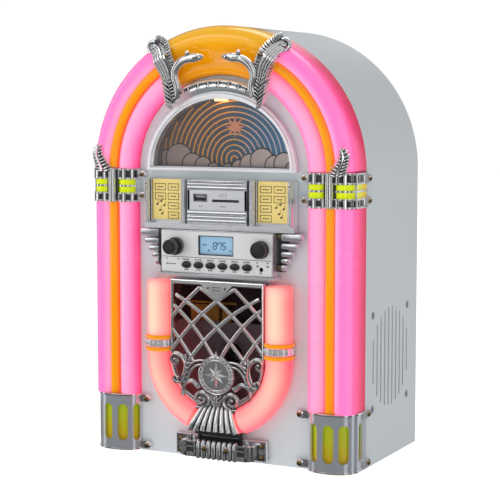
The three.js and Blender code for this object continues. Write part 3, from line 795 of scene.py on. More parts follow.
def make_columns():
    outline = lobed_outline()
    tint_and_shade = lengths(outline)
    strip = [(100.7, -1), *arc(104.7, -8.6, 4, 3, 180, 360, 12), (108.7, -1)]
    strip_tint_and_shade = lengths(strip)
    for side, label in SIDES:
        column, arch = on_side(side)
        post = [column(z) for z in spread(51.8, 223.2, 24)]
        bend = [arch(a) for a in spread(0.026, math.pi / 2 - CROWN_ANGLE - 0.004, 48)]
        Shape().sweep(outline, post, tint_and_shade).make(
            f"column_{label}", "pink", "cabinet", "pink_diffuser", [f"pillar_{label}"])
        Shape().sweep(outline, bend, tint_and_shade).make(
            f"arch_{label}", "pink", "cabinet", "pink_diffuser", [f"arch_tube_{label}"])
        Shape().sweep(strip, post, strip_tint_and_shade).sweep(strip, bend, strip_tint_and_shade).make(
            f"strip_{label}", "orange", "cabinet", "orange_diffuser", [f"light_strip_{label}"])
    crown = [
        (83, 20), *arc(90, -3, 7, 7, 180, 270, 8), (95, -9.4), (99, -8.6), (104, -9.4), (109, -11.2),
        *arc(114, -3.5, 8.6, 8.5, 262, 300, 8), (121.6, -8.4), (123.6, -5.5), (125, -2), (125, 20),
    ]
    _, arch = on_side(1)
    path = [arch(a) for a in spread(math.pi / 2 - CROWN_ANGLE, math.pi / 2 + CROWN_ANGLE, 40)]
    Shape().sweep(crown, path, lengths(crown)).make(
        "crown", "amber", "cabinet", "amber_diffuser", ["crown_lens"])


# ---------------------------------------------------------------- collars

COLLAR_Z = (223.5, 231.7, 243.4, 252.8)
COLLAR_BARS = (
    (LOBE_INNER, 182, 194), (LOBE_INNER, 216, 234), (LOBE_INNER, 258, 278), (LOBE_INNER, 302, 318),
    (LOBE_OUTER, 204, 217), (LOBE_OUTER, 240, 257), (LOBE_OUTER, 281, 297), (LOBE_OUTER, 319, 331),
    (LOBE_OUTER, 351, 360),
)


def arc_slab(shape, column, cx, reach, a0, a1, z0, z1):
    """A curved bar on a lobe's face, between two angles."""
    section = [*arc(cx, LOBE_Y, reach, reach, a0, a1, 8), *arc(cx, LOBE_Y, LOBE_R, LOBE_R, a1, a0, 8)]
    shape.sweep(section, [column(z0), column(z1)])


def add_front_tab(shape, side, inner, outer, y, z):
    """A rounded ear with a screw hole boss, on the front panel."""
    outline = [(side * outer, z - 3.4), (side * outer, z + 3.4)]
    outline += [(side * u, v) for u, v in arc(inner, z, 3.4, 3.4, 90, 270, 8)]
    shape.prism(outline, y)
    shape.lathe([(0, y[1]), (2.9, y[1]), (2.9, y[0] - 1), (2.5, y[0] - 1.4), (0, y[0] - 1.4)],
                (side * inner, 0, z), "y", 16)


def add_side_tab(shape, side, front, back, z):
    """A rounded ear on the cabinet's side."""
    outline = [(front, z - 3.4), *arc(back, z, 3.4, 3.4, -90, 90, 8), (front, z + 3.4)]
    shape.prism(outline, (side * 125.3, side * 126.8), plane="yz")


def make_collars():
    low, low_top, high_bottom, top = COLLAR_Z
    for side, label in SIDES:
        column, _ = on_side(side)
        chrome, dark, screws = Shape(), Shape(), Shape()

        def hoop(target, grow, z0, z1):
            target.sweep(relieve(closed_outline(grow)), [column(z0), column(z1)])

        for z0, z1 in ((low, low_top), (high_bottom, top)):
            hoop(dark, 0.4, z0 + 1, z1 - 1)
            for grow, near, far in ((1.7, 0, 1.0), (1.0, 1.0, 1.6)):
                hoop(chrome, grow, z0 + near, z0 + far)
                hoop(chrome, grow, z1 - far, z1 - near)
            for cx, a0, a1 in COLLAR_BARS:
                arc_slab(chrome, column, cx, 10.5, a0, a1, z0 + 1, z1 - 1)
            for y in ((0.5, 3), (11, 14)):
                chrome.box((side * 124.5, side * 126.5), y, (z0 + 1, z1 - 1))
        hoop(chrome, 0.9, 236.9, 238.5)
        arc_slab(chrome, column, LOBE_INNER, 10.2, 180, 206, low_top, high_bottom)
        arc_slab(chrome, column, LOBE_OUTER, 10.2, 344, 360, low_top, high_bottom)
        chrome.box((side * 82, side * 83), (-5, -0.4), (low, top))
        bar = [(101.2, -6), *arc(104.7, -11.2, 3.5, 3.0, 180, 360, 10), (108.2, -6)]
        chrome.sweep(bar, [column(low), column(top)])
        for x0 in (99.4, 108.8):
            dark.box((side * x0, side * (x0 + 1.3)), (-10.6, -4), (low + 1.6, top - 1.6))
        for z in (229.0, 247.7):
            add_front_tab(chrome, side, 78.4, 84, (-2.6, -0.4), z)
            add_screw(screws, (side * 78.4, -4.0, z), radius=2.0)
            add_side_tab(chrome, side, 12, 23.5, z)
            add_screw(screws, (side * 126.9, 23.5, z), (side, 0, 0), 2.0)
        chrome.make(f"collar_trim_{label}", "chrome", "cabinet", "chrome", [f"collar_{label}"], bevel=0.25)
        dark.make(f"collar_recess_{label}", "gunmetal", "cabinet", "chrome")
        screws.make(f"collar_screws_{label}", "brass", "cabinet", "chrome")
        lens = closed_outline()
        stations = [column(z) for z in spread(low_top + 0.05, high_bottom - 0.05, 4)]
        Shape().sweep(lens, stations, lengths(lens)).make(
            f"collar_lamp_{label}", "lime", "cabinet", "lime_diffuser", [f"collar_light_{label}"])
        make_leaf(side, label)


def make_leaf(side, label):
    """The small feathered finial on each upper band."""
    leaf = Shape()
    spine = smooth_line([(112.8, 250.4), (114.6, 255.5), (117.0, 260.5), (118.6, 266), (117.0, 271.6)])
    last = len(spine) - 1
    for i, (x, z) in enumerate(spine[::3]):
        reach = 6.6 * (1 - 3 * i / last) ** 0.6 + 1.8
        for hand in (-1, 1):
            barb = smooth_line([(x, -14.8, z - 0.4), (x + hand * reach * 0.55, -14.4, z + 0.5),
                                (x + hand * reach, -12.4, z + 2.6)], 4)
            leaf.tube(flip(side, barb), [0.5, 0.6, 0.7, 0.76, 0.8, 0.8, 0.76, 0.66, 0.45], 8)
    leaf.tube(at_depth(spine, -15.4, side), spread(1.3, 0.7, last), 8)
    widths = [5.0 * (1 - t) ** 0.6 + 1.0 for t in spread(0, 1, last)]
    left = [(side * (x - w), z + 1.2) for (x, z), w in zip(spine, widths)]
    right = [(side * (x + w), z + 1.2) for (x, z), w in zip(spine, widths)]
    leaf.prism([*left, *reversed(right)], (-12.6, -10.6))
    leaf.make(f"collar_leaf_{label}", "shaded_relief", "cabinet", "chrome")


# ---------------------------------------------------------------- foot sockets

SOCKET_X, SOCKET_HALF = 103.5, 22.5
SOCKET_POWER = 0.88
SOCKET_SLOTS = {
    "left": ((84.2, -58, 3.6), (94.9, -16, 4.7), (109.6, 12, 4.5), (121.4, 52, 3.6)),
    "right": ((91.0, -32, 4.4), (105.5, 3, 4.9), (118.6, 40, 4.6)),
}


def socket_outline(inset):
    """A bowed front between two softly squared corners."""
    points = []
    for u, v in arc(0, 0, 1, 1, 180, 360, 40):
        x = SOCKET_X + (SOCKET_HALF - inset) * math.copysign(abs(u) ** SOCKET_POWER, u)
        y = 6 - (20 - inset) * abs(v) ** SOCKET_POWER
        points.append((x, y))
    left, right = SOCKET_X - SOCKET_HALF, SOCKET_X + SOCKET_HALF
    return [(left + inset, 20), *points, (right - inset, 20)]


def socket_front(x):
    """How far forward the socket's face is at x."""
    return 6 - 20 * (1 - abs((x - SOCKET_X) / SOCKET_HALF) ** (2 / SOCKET_POWER)) ** (SOCKET_POWER / 2)


def socket_ring(grow, inset):
    """A wall between two outlines, kept inside the column's own back corner."""
    hole = [(max(x, 85.0), y) for x, y in socket_outline(inset)]
    return [*relieve(socket_outline(-grow)), *reversed(hole)]


def slot_outline(u, low, high, half, steps=8):
    return [*arc(u, high - half, half, half, 0, 180, steps), *arc(u, low + half, half, half, 180, 360, steps)]


def make_sockets():
    low, high = 9.6, 42.6
    for side, label in SIDES:
        column, _ = on_side(side)
        skin = Shape().sweep(socket_ring(0, 2.2), [column(1.2), column(51.2)])
        obj = skin.make(f"socket_{label}", "pewter", "cabinet", "chrome", [f"foot_socket_{label}"])
        cutter = Shape()
        for centre, turn, half in SOCKET_SLOTS[label]:
            c, s = math.cos(math.radians(turn)), math.sin(math.radians(turn))
            front = socket_front(centre)
            cutter.merge(Shape().prism(slot_outline(0, low, high, half), (-9, 9)), lambda p: (
                side * (centre + p[0] * c - p[1] * s), front + p[0] * s + p[1] * c, p[2]))
        if label == "right":
            cutter.prism(slot_outline(8, low, high, 3.6), (122, 130), plane="yz")
        cut_with(obj, cutter)
        trim, screws = Shape(), Shape()
        for z0, z1, grow in ((49.9, 51.5, 0.7), (1.0, 2.4, 0.5)):
            trim.sweep(socket_ring(grow, 2.4), [column(z0), column(z1)])
        for z in (5.6, 47.7):
            add_front_tab(trim, side, 75, 83.2, (-3.2, -0.4), z)
            add_screw(screws, (side * 75, -4.8, z))
            add_side_tab(trim, side, 12, 24.5, z)
            add_screw(screws, (side * 126.9, 24.5, z), (side, 0, 0))
        trim.make(f"socket_trim_{label}", "chrome", "cabinet", "chrome", bevel=0.2)
        screws.make(f"socket_screws_{label}", "brass", "cabinet", "chrome")
        lens = [(max(x, 85.8), y) for x, y in socket_outline(3.0)]
        lamp = Shape().sweep(lens, [column(z) for z in spread(4, 49.5, 8)])
        lamp.across = [(v[2] - 4) / 45.5 for v in lamp.verts]
        lamp.make(f"socket_lens_{label}", "olive", "cabinet", "lime_diffuser", [f"foot_light_{label}"])


# ---------------------------------------------------------------- birds over the crown

def laid_back(point):
    """Bends the crest back over the arch's shoulder."""
    x, y, z = point
    radius = math.hypot(x, z - ARCH_Z)
    t = max(0.0, min(1.0, (radius - 108) / 20))
    ease = t * t * (3 - 2 * t)
    return (x * (1 - 0.03 * ease), y + 8.5 * ease, z)


def add_neck(bird, side):
    """The long neck, the head with its crown and beak, and the ridges along the neck."""
    neck = smooth_line([(37, -15, 316), (35.6, -16, 324), (37.6, -17, 332), (36.4, -17.6, 339),
                        (31.5, -18, 344.6), (25, -18.2, 347.4), (18.5, -18.2, 348.2),
                        (13.5, -18.2, 348.6), (10.4, -18, 347.6)])
    girths = [3.6, 3.6, 3.5, 3.7, 3.8, 3.6, 4.1, 3.2, 1.4]
    radii = [a + (b - a) * k / 6 for a, b in zip(girths, girths[1:]) for k in range(6)]
    bird.tube(flip(side, neck), [*radii, girths[-1]], 14, 0.7)
    bird.bead((side * 24.4, -18.6, 352.4), 2.3, 14, 0.9)
    bird.tube(flip(side, [(25, -18.4, 348.6), (24.6, -18.6, 351)]), 1.0, 8)
    beak = smooth_line([(12, -18.4, 350.4), (9.6, -18.6, 349.6), (8.8, -18.6, 347.8)], 4)
    bird.tube(flip(side, beak), [1.3, 1.2, 1.1, 1.0, 0.9, 0.8, 0.7, 0.6, 0.4], 8)
    bird.bead((side * 14.6, -20.0, 349.6), 0.8, 10)
    bird.bead((side * 11.0, -19.6, 348.2), 0.55, 8)
    for lift, wide in ((0.0, 0.75), (1.9, 0.6)):
        ridge = [(x + lift * 0.8, y - 1.8 + lift * 0.2, z + lift * 0.5) for x, y, z in neck[3:26]]
        bird.tube(flip(side, ridge), swell(len(ridge), 0.4 * wide, 0.6 * wide), 6)


def add_crest(bird, side):
    """A curved rod wrapped in ribs."""
    crest = smooth_line([(37.6, 333), (39.4, 341), (43.2, 350), (48.6, 358), (55.4, 364), (61.5, 366.5)], 8)
    last = len(crest) - 1
    count = 24
    for i in range(count):
        k = int(last * i / (count - 1))
        (x, z), (ax, az), (bx, bz) = crest[k], crest[max(k - 1, 0)], crest[min(k + 1, last)]
        size = math.hypot(bx - ax, bz - az)
        reach = 2.0 + 0.9 * math.sin(math.pi * i / (count - 1))
        nx, nz = -reach * (bz - az) / size, reach * (bx - ax) / size
        rib = [(x - nx, -16.2, z - nz), (x, -18.2, z), (x + nx, -16.2, z + nz)]
        bird.tube(flip(side, rib), [0.7, 0.9, 0.7], 8)
    bird.tube(at_depth(crest, -15.4, side), 2.4, 10, 0.8)


def add_plumes(bird, side):
    """Four long plumes that end round one curl."""
    for offset, lift, wide in ((2.6, 0.4, 1.4), (5.2, 0, 1.5), (7.8, -0.5, 1.5), (10.4, -1.4, 1.4)):
        plume = smooth_line([
            (40.5 + offset * 0.55, -17.2, 330 - offset * 0.6),
            (43 + offset * 0.75, -18.4, 341 - offset * 0.5),
            (48.5 + offset * 0.7, -18.8, 350.5 - offset * 0.65),
            (56 + offset * 0.35, -18.6, 358.5 - offset * 0.8),
            (64.5, -17.8, 362.6 - offset * 0.75 + lift)], 7)
        bird.tube(flip(side, plume), swell(len(plume), 0.35 * wide, 0.65 * wide, 0.1, 0.85), 10, 0.9)
    curl = []
    for i in range(34):
        a = math.radians(115 - i * 15)
        r = 5.6 * (1 - i / 40)
        curl.append((65.2 + r * math.cos(a), 357.8 + r * math.sin(a)))
    bird.tube(at_depth(curl, -17.6, side), spread(1.8, 0.9, 33), 10)
    bird.bead((side * 65.4, -17.8, 357.8), 1.9, 12)


def add_feathers(bird, side):
    """Barbs down the flank and across the breast."""
    flank = smooth_line([(45.5, 309.5), (46.8, 317), (47.4, 325), (49.6, 334), (52.6, 341.5), (56.4, 347)], 8)
    for t in spread(0, 1, 12):
        x, z = flank[int((len(flank) - 1) * t)]
        reach = 5.4 + 3.2 * math.sin(math.pi * (0.15 + 0.85 * t))
        angle = math.radians(66 - 44 * t)
        root = (x - reach * 0.8, -16.2, z - reach * 0.7)
        middle = (x - reach * 0.05, -17.8, z - reach * 0.15)
        tip = (x + 0.75 * reach * math.cos(angle), -13.6, z + 0.75 * reach * math.sin(angle))
        barb = smooth_line([root, middle, tip], 5)
        bird.tube(flip(side, barb), swell(len(barb), 0.4, 0.8, 0.08, 0.94), 8, 1.2)
    for t in spread(0, 1, 6):
        x, z = 37.4 + 3.4 * t, 313 + 17 * t
        barb = smooth_line([(x + 4.6, -16.6, z - 2.2), (x + 1.4, -17.6, z + 1.2), (x - 1.8, -16, z + 2.2)], 4)
        bird.tube(flip(side, barb), [0.4, 0.6, 0.8, 0.9, 0.9, 0.8, 0.7, 0.5, 0.3], 8)


def make_bird(side, label):
    """One crested bird: a curved neck and head, a ribbed crest, long plumes and a feathered flank."""
    bird = Shape()
    spine = smooth_line([(42, -13.2, 310.4), (41.5, -13.8, 319.4), (42.5, -14.6, 330.4), (46, -15, 341.4),
                         (51, -15, 350.4), (58, -14.6, 357.4), (65, -14, 360.9)])
    bird.tube(flip(side, spine), swell(len(spine), 3.6, 4.2), 14, 0.4)
    add_neck(bird, side)
    add_crest(bird, side)
    add_plumes(bird, side)
    add_feathers(bird, side)
    back = [(34.6, 314), (33.4, 324), (35.6, 333), (37.4, 341), (43, 351), (50, 359), (58, 364.4),
            (64, 364.4), (69, 359.6), (65, 354), (56.4, 349.4), (52, 342), (48.6, 334), (46.4, 324),
            (47.4, 315), (42, 309.4)]
    outline = smooth_line([*back, back[0]], 4)[:-1]
    bird.prism([(side * x, z) for x, z in outline], (-14.4, -12.7))
    bird.verts = [laid_back(v) for v in bird.verts]
    bird.make(f"bird_{label}", "shaded_relief", "cabinet", "chrome", [f"phoenix_{label}"], angle=50)

    screws = Shape()
    add_screw(screws, (side * 44.4, -19.2, 350.4), radius=1.7)
    add_screw(screws, (side * 33.4, -15.4, 319.4), radius=1.9)
    screws.make(f"bird_screws_{label}", "brass", "cabinet", "chrome")


def make_brow():
    """The arched moulding over the dome, crossed by beads."""
    brow, lines = Shape(), Shape()
    _, arch = on_side(1)
    half = 0.43

    def over_dome(radius, y, angle):
        return (radius * math.sin(angle), y, ARCH_Z + radius * math.cos(angle))

    path = [arch(a) for a in spread(math.pi / 2 - half, math.pi / 2 + half, 36)]
    brow.sweep([(72.8, -0.4), (72.8, -10.6), (73.6, -12.2), (75, -12.0), (76, -10.9), (77, -11.2),
                (78, -12.9), (79, -12.2), (79.2, -10.6), (79.2, -0.4)], path)
    groove = ((72.9, -11.0), (73.6, -12.3), (75, -12.1), (76, -11.0), (77, -11.3))
    for a in spread(-half * 0.9, half * 0.9, 6):
        lines.tube([over_dome(r, y, a) for r, y in groove], 0.42, 6)
        brow.tube([over_dome(73.8, -12.3, a + 0.028), over_dome(77.8, -12.5, a + 0.028)], 0.8, 8)
    lines.tube([over_dome(76.1, -11.0, a) for a in spread(-half, half, 36)], 0.4, 6)
    brow.make("brow", "bright", "cabinet", "chrome", ["brow_trim"], angle=50)
    lines.make("brow_lines", "gunmetal", "cabinet", "chrome")


# ---------------------------------------------------------------- dome window

DOME = (71.9, 252.1, 68.2)
SUN_X, SUN_Z = 9.0, 262.0
PUFFS = (
    (-57, 258, 11), (-45, 262, 12.5), (-32, 257, 9.5), (-21, 256, 7.5), (-11, 253, 5.5), (3, 253, 5),
    (14, 255, 6.5), (24, 258, 8.5), (36, 261, 10.5), (48, 257, 8.5), (57, 259, 9), (64, 255, 5),
)


def dome(inset, sill=0.0):
    half, base, rise = DOME
    return arc(0, base + sill, half - inset, rise - inset - sill, 0, 180, 48)


def in_dome(x, z, inset, sill):
    half, base, rise = DOME
    return z > base + sill and (x / (half - inset)) ** 2 + ((z - base) / (rise - inset)) ** 2 < 1


def star_outline(x, z, outer, inner, count, start=0.0):
    radii = (outer, inner) * count
    angles = [start + k * math.pi / count for k in range(2 * count)]
    return [(x + r * math.cos(a), z + r * math.sin(a)) for r, a in zip(radii, angles)]


def add_sky_ring(rings, radius):
    """One printed ring, as the separate runs of it that lie inside the dome."""
    width = 1.1
    share = 1 - width / radius
    run = []
    for point in [*arc(SUN_X, SUN_Z, radius, radius, -30, 210, 96), None]:
        if point and in_dome(*point, 6.4, 4.4):
            run.append(point)
            continue
        if len(run) > 3:
            inner = [(SUN_X + (x - SUN_X) * share, SUN_Z + (z - SUN_Z) * share) for x, z in run]
            rings.prism([*run, *reversed(inner)], (3.9, 4.3))
        run = []


def puff_outline(x, z, radius, inset, sill, floor_z):
    kept = [p for p in arc(x, z, radius, radius, -20, 200, 24) if in_dome(*p, inset, sill)]
    return [(kept[0][0], floor_z), *kept, (kept[-1][0], floor_z)] if len(kept) > 3 else None


def make_sky():
    """The printed card behind the dome: rings, clouds and stars as thin layers."""
    rings, clouds, outlines, stars = Shape(), Shape(), Shape(), Shape()
    for i in range(15):
        add_sky_ring(rings, 3.6 + 4.7 * i)
    rings.make("sky_rings", "ringink", "cabinet", "art")

    floor_z = DOME[1] + 3.9
    for i, (x, z, radius) in enumerate(PUFFS):
        depth = 3.7 - 0.12 * i
        puff = puff_outline(x, z, radius, 6.6, 3.8, floor_z)
        edge = puff_outline(x, z, radius + 1.1, 6.3, 3.6, floor_z - 0.2)
        if puff and edge:
            clouds.prism(puff, (depth - 0.04, depth))
            outlines.prism(edge, (depth + 0.01, depth + 0.04))
    clouds.make("sky_clouds", "cloud", "cabinet", "art")
    outlines.make("sky_cloud_edges", "ink", "cabinet", "art")

    rng = random.Random(7)
    for _ in range(34):
        a, r = rng.uniform(0.15, math.pi - 0.15), rng.uniform(18, 58)
        x, z, size = r * math.cos(a), SUN_Z + r * math.sin(a) * 0.8, rng.uniform(0.35, 0.8)
        if in_dome(x, z, 8, 6):
            stars.prism(star_outline(x, z, size, 0.4 * size, 4), (3.8, 4.3))
    stars.prism(star_outline(10, 290, 9.5, 3.6, 8, math.pi / 2), (3.2, 3.8))
    stars.make("sky_stars", "star", "cabinet", "art")


def make_dome():
    trim = Shape()
    for inset, next_inset, front in ((0, 2.2, -6.4), (2.2, 4.2, -8.6), (4.2, 6.1, -5.6)):
        hole = dome(next_inset, next_inset * 0.5)
        trim.prism(dome(inset, inset * 0.5), (front, -0.4), [hole[::-1]])
    trim.make("dome_trim", "clearedge", "cabinet", "chrome", ["dome_frame"], bevel=0.35)
    Shape().prism(dome(6.3, 3.3), (-5.6, -4.2)).make("dome_pane", "glass", "cabinet", "clear", ["dome_lens"])
    wall = Shape().prism(dome(5.2, 2.6), (-0.3, 4.2), [dome(6.4, 3.4)[::-1]])
    wall.make("dome_reveal", "satin", "cabinet", "chrome")
    Shape().prism(dome(3.2, 0.8), (4.3, 6.3)).make("night_sky", "sky", "cabinet", "art", ["dome_artwork"])
    make_sky()
    lamp = Shape().box((-7, 4), (-2.6, 2.2), (312.0, 313.3))
    lamp.make("dome_lamp", "lamp", "cabinet", "clear", bevel=0.4)


# ---------------------------------------------------------------- media panel

TILE_Z = (206.5, 244.6)
TILE_HALF = 28.5
USB_HOLE = (-22.9, -9.3, 225.8, 232.6)
CARD_HOLE = (-4.6, 21.2, 225.9, 228.1)


def make_media_trim():
    panel = Shape()
    low, high = TILE_Z
    panel.box((-72, 72), (-5, -0.4), (206, 244.8))
    panel.prism(rect(-TILE_HALF, TILE_HALF, 218.5, 236), (-11.4, -10), [rect(*USB_HOLE), rect(*CARD_HOLE)])
    for z in ((low, 218.5), (236, high)):
        panel.box((-TILE_HALF, TILE_HALF), (-9.4, -5), z)
    panel.pairs([(26.5, TILE_HALF)], (-11.4, -5), TILE_Z)
    for z, r in ((238, 1.7), (241, 1.2), (243.5, 1.1), (216.4, 1.8), (212.8, 1.4), (209.6, 1.7)):
        bulge = [(-11.2 - 1.6 * c, z + r * s) for c, s in arc(0, 0, 1, 1, -90, 90, 8)]
        panel.prism([(-9, z - r), *bulge, (-9, z + r)], (-28.3, 28.3), plane="yz")
    panel.pairs([(29.6, 30.4), (36.2, 36.9), (65.6, 66.3)], (-9, -5), (207, high))
    for side in (-1, 1):
        for cx, r in ((33.3, 2.4), (69.4, 2.3)):
            bulge = [(side * (cx + r * u), -9.6 + 3.4 * v) for u, v in arc(0, 0, 1, 1, 180, 360, 12)]
            outline = [(side * (cx - r), -5), *bulge, (side * (cx + r), -5)]
            panel.prism(outline, (206.4, 244.8), plane="xy")
        spear = [(69.4, -12.6, 240), (69.4, -13.6, 238), (69.4, -13.2, 226)]
        panel.tube(flip(side, spear), [0.6, 1.3, 0.7])
        panel.bead((side * 69.4, -12.6, 241.4), 2.0, 12, 0.8)
    for z0, z1, front in ((201.5, 203, -9), (203, 204.6, -10.4), (204.6, 206.4, -11)):
        panel.box((-72, 72), (front, -0.4), (z0, z1))
    panel.make("media_panel_trim", "satin", "cabinet", "chrome", ["media_panel"], bevel=0.3)

    gaps, marks = Shape(), Shape()
    gaps.pairs([(28.6, 29.5), (30.5, 31.3), (35.2, 36.1), (66.4, 67.5)], (-8.6, -5), (207, 244.4))
    gaps.make("media_panel_gaps", "dark", "cabinet", "black_plastic")
    marks.boxes([(x, x + 1.2) for x in (-17.5, -15.5, 3.5, 5.5, 7.5)], (-11.52, -11.38), (221.6, 222.4))
    marks.boxes([(2.2, 2.6), (8.6, 9.0), (4.4, 4.7), (6.6, 6.9)], (-11.52, -11.38), (229.6, 233.4))
    marks.make("media_marks", "greyink", "cabinet", "black_plastic")


def add_note(prints, x, z, tilt, y):
    """A musical note: a tilted oval head and a stem."""
    c, s = math.cos(tilt), math.sin(tilt)
    head = [(x + u * c - v * s, z + u * s + v * c) for u, v in loop(0, 0, 1.25, 0.8, 14)]
    prints.prism(head, y)
    prints.box((x + 0.85, x + 1.2), y, (z, z + 3.4))


def make_title_cards():
    ink_y = (-7.5, -7.38)
    inner, outer = (39.4, 50.2), (52.2, 63)
    frames = [(*inner, z) for z in (240.6, 232.4, 224.2, 216.0)] + [(*outer, z) for z in (240.6, 232.4)]
    notes = ((-3.2, 222.4, 0.4), (0.6, 225.0, 0.2), (3.8, 221.4, 0.5), (-0.4, 217.2, 0.3), (1.6, 214.2, 0.4))
    for side, label in SIDES:
        card = Shape().box((side * 37.4, side * 65.2), (-7.4, -5.2), (209.2, 244.4))
        card.make(f"card_{label}", "card", "cabinet", "card", [f"title_card_{label}"], bevel=0.2)
        prints = Shape()
        for a, b, top in frames:
            low = top - 6
            edges = [(a, b, top - 0.5, top), (a, b, low, low + 0.5),
                     (a, a + 0.5, low, top), (b - 0.5, b, low, top)]
            dashes = [(x, x + 0.9, low + 2.4, low + 3.5) for x in spread(a + 2.6, a + 7.1, 3)]
            for x0, x1, z0, z1 in edges + dashes:
                prints.box((side * x0, side * x1), ink_y, (z0, z1))
        for dx, z, tilt in notes:
            add_note(prints, side * 57.6 + dx, z, tilt, ink_y)
        prints.make(f"card_print_{label}", "ink", "cabinet", "card")


def make_ports():
    core, usb, slot = Shape(), Shape(), Shape()
    for z in ((226.7, 229.45), (231.3, 231.7)):
        core.box((-22.0, -10.2), (-9.8, -2.8), z)
    core.box((-4.5, 21.1), (-10.3, -5), (225.95, 228.05))
    core.make("usb_core", "dark", "cabinet", "black_plastic")
    usb.prism(rect(-22.6, -9.6, 226.1, 232.3), (-11.3, -2), [rect(-22.1, -10.1, 226.6, 231.8)])
    usb.box((-21, -11.2), (-10.6, -2), (229.6, 231.2))
    usb.box((-22.4, -9.8), (-2.6, -1.4), (226.2, 232.2))
    usb.boxes([(x, x + 1.1) for x in (-19.8, -17.6, -15.4, -13.2)], (-10.2, -3), (229.3, 229.62))
    usb.make("usb_shell", "steel", "cabinet", "steel", ["usb_socket"], bevel=0.12)
    slot.prism(rect(-5.8, 22.4, 224.4, 229.6), (-10, -2), [rect(-4.4, 21, 225.9, 228.1)])
    slot.box((-5.8, 22.4), (-2.4, -1.2), (224.4, 229.6))
    slot.boxes([(x, x + 1.2) for x in spread(-2.6, 18.2, 8)], (-8, -2.6), (225.86, 226.2))
    slot.make("card_slot", "black", "cabinet", "black_plastic", ["card_socket"], bevel=0.12)


# ---------------------------------------------------------------- radio panel

BUTTON_X = (-28.5, -16.8, -5.1, 6.7, 18.4, 30.1)
BUTTON_Z = 171.1
KNOB_X = (-38.5, 43.5)
KNOB_Z = 187.0
JACK_X, JACK_Z = 43.3, 170
FINS = (
    (78.5, 194.3, 201.2), (74.2, 187.5, 192.8), (70.3, 181.0, 185.8), (66.7, 175.5, 180.0),
    (63.5, 169.0, 174.5),
)
SCREEN = rect(-17, 17, 180, 197)
RADIO_RIM = rect(-54.3, 54.3, 163.8, 201.2)


def radio_holes():
    return [
        SCREEN[::-1], loop(JACK_X, JACK_Z, 2.0, 2.0, 20),
        *[loop(x, BUTTON_Z, 4.65, 3.15, 28) for x in BUTTON_X],
        *[loop(x, KNOB_Z, 3.4, 3.4, 24) for x in KNOB_X],
    ]


def add_fin(rim, side, tip, z0, z1):
    """A pointed fin beside the radio, its section pinched at both ends."""
    middle, half = (z0 + z1) / 2, (z1 - z0) / 2 - 0.1
    below = [(-3, -half), (-6.6, -half), (-8.0, -half * 0.8), (-8.5, -half * 0.3)]
    section = [*below, *[(y, -z) for y, z in reversed(below)]]
    stations = [
        lambda p, x=x, pinch=pinch: (side * x, p[0] * (0.6 + 0.4 * pinch), middle + p[1] * pinch)
        for x, pinch in ((59.5, 0.9), (60.5, 1), (tip - 1.2, 1), (tip, 0.75))
    ]
    rim.sweep(section, stations)


def make_radio():
    face = Shape().prism(rect(-53.4, 53.4, 164.8, 200.2), (-13.6, -11.4), radio_holes())
    face.make("radio_face", "face", "cabinet", "chrome", bevel=0.18)

    rim = Shape()
    rim.prism(RADIO_RIM, (-13.3, -0.4), [rect(-53.5, 53.5, 164.7, 200.3)])
    rim.box((-56, 56), (-15, -0.4), (162, 163.7))
    rim.box((-55, 55), (-12.5, -0.4), (160.6, 162.1))
    back, screws = Shape(), Shape()
    for side in (-1, 1):
        for fin in FINS:
            add_fin(rim, side, *fin)
        wing = ((54.3, 168), (60.5, 168), (63.5, 200.6), (54.3, 200.6))
        back.prism([(side * x, z) for x, z in wing], (-4.6, -0.4))
        for z in (198, 172):
            back.box((side * 55, side * 60), (-6, -4), (z - 2.6, z + 2.6))
            add_screw(screws, (side * 57.4, -6.4, z), radius=2.0)
    rim.make("radio_rim", "satin", "cabinet", "chrome", ["radio_panel"], bevel=0.25)
    back.prism(RADIO_RIM, (-11.3, -10.9), radio_holes())
    back.box((-54.35, -53.3), (-13.45, -2), (164, 201))
    back.lathe([(0, -3.4), (2.6, -3.4), (2.6, -10.9), (1.9, -10.9), (1.9, -5), (0, -5)],
               (JACK_X, 0, JACK_Z), "y", 20)
    back.make("radio_back", "dark", "cabinet", "black_plastic")
    screws.make("radio_screws", "brass", "cabinet", "chrome")
    make_radio_marks()
    make_display()


def make_radio_marks():
    """Legends over and under the keys, as short dashes."""
    marks = Shape()
    marks.box((-52.6, 52.6), (-13.7, -13.55), (177.5, 177.9))
    rng = random.Random(3)
    for x in BUTTON_X:
        for z, count in ((175.3, 3), (166.6, 2)):
            for k in range(count):
                left = x - count * 1.1 + k * 2.2
                marks.box((left, left + rng.uniform(1.3, 1.9)), (-13.72, -13.55), (z, z + 0.85))
    for x, z, w in ((-48.5, 171, 1.6), (-46, 171, 1.6), (-43.5, 171, 1.6), (-41, 171, 1.6),
                    (-48.5, 175.6, 1.2), (-37.6, 175.4, 1.4), (39, 175.4, 1.6), (48.6, 175.4, 1.6),
                    (42.4, 166.6, 1.8)):
        marks.box((x, x + w), (-13.72, -13.55), (z, z + 0.9))
    for x in (40, 49.6):
        marks.prism(loop(x, 172.9, 1.1, 0.7, 12), (-13.9, -13.5))
    marks.make("radio_marks", "ink", "cabinet", "black_plastic")


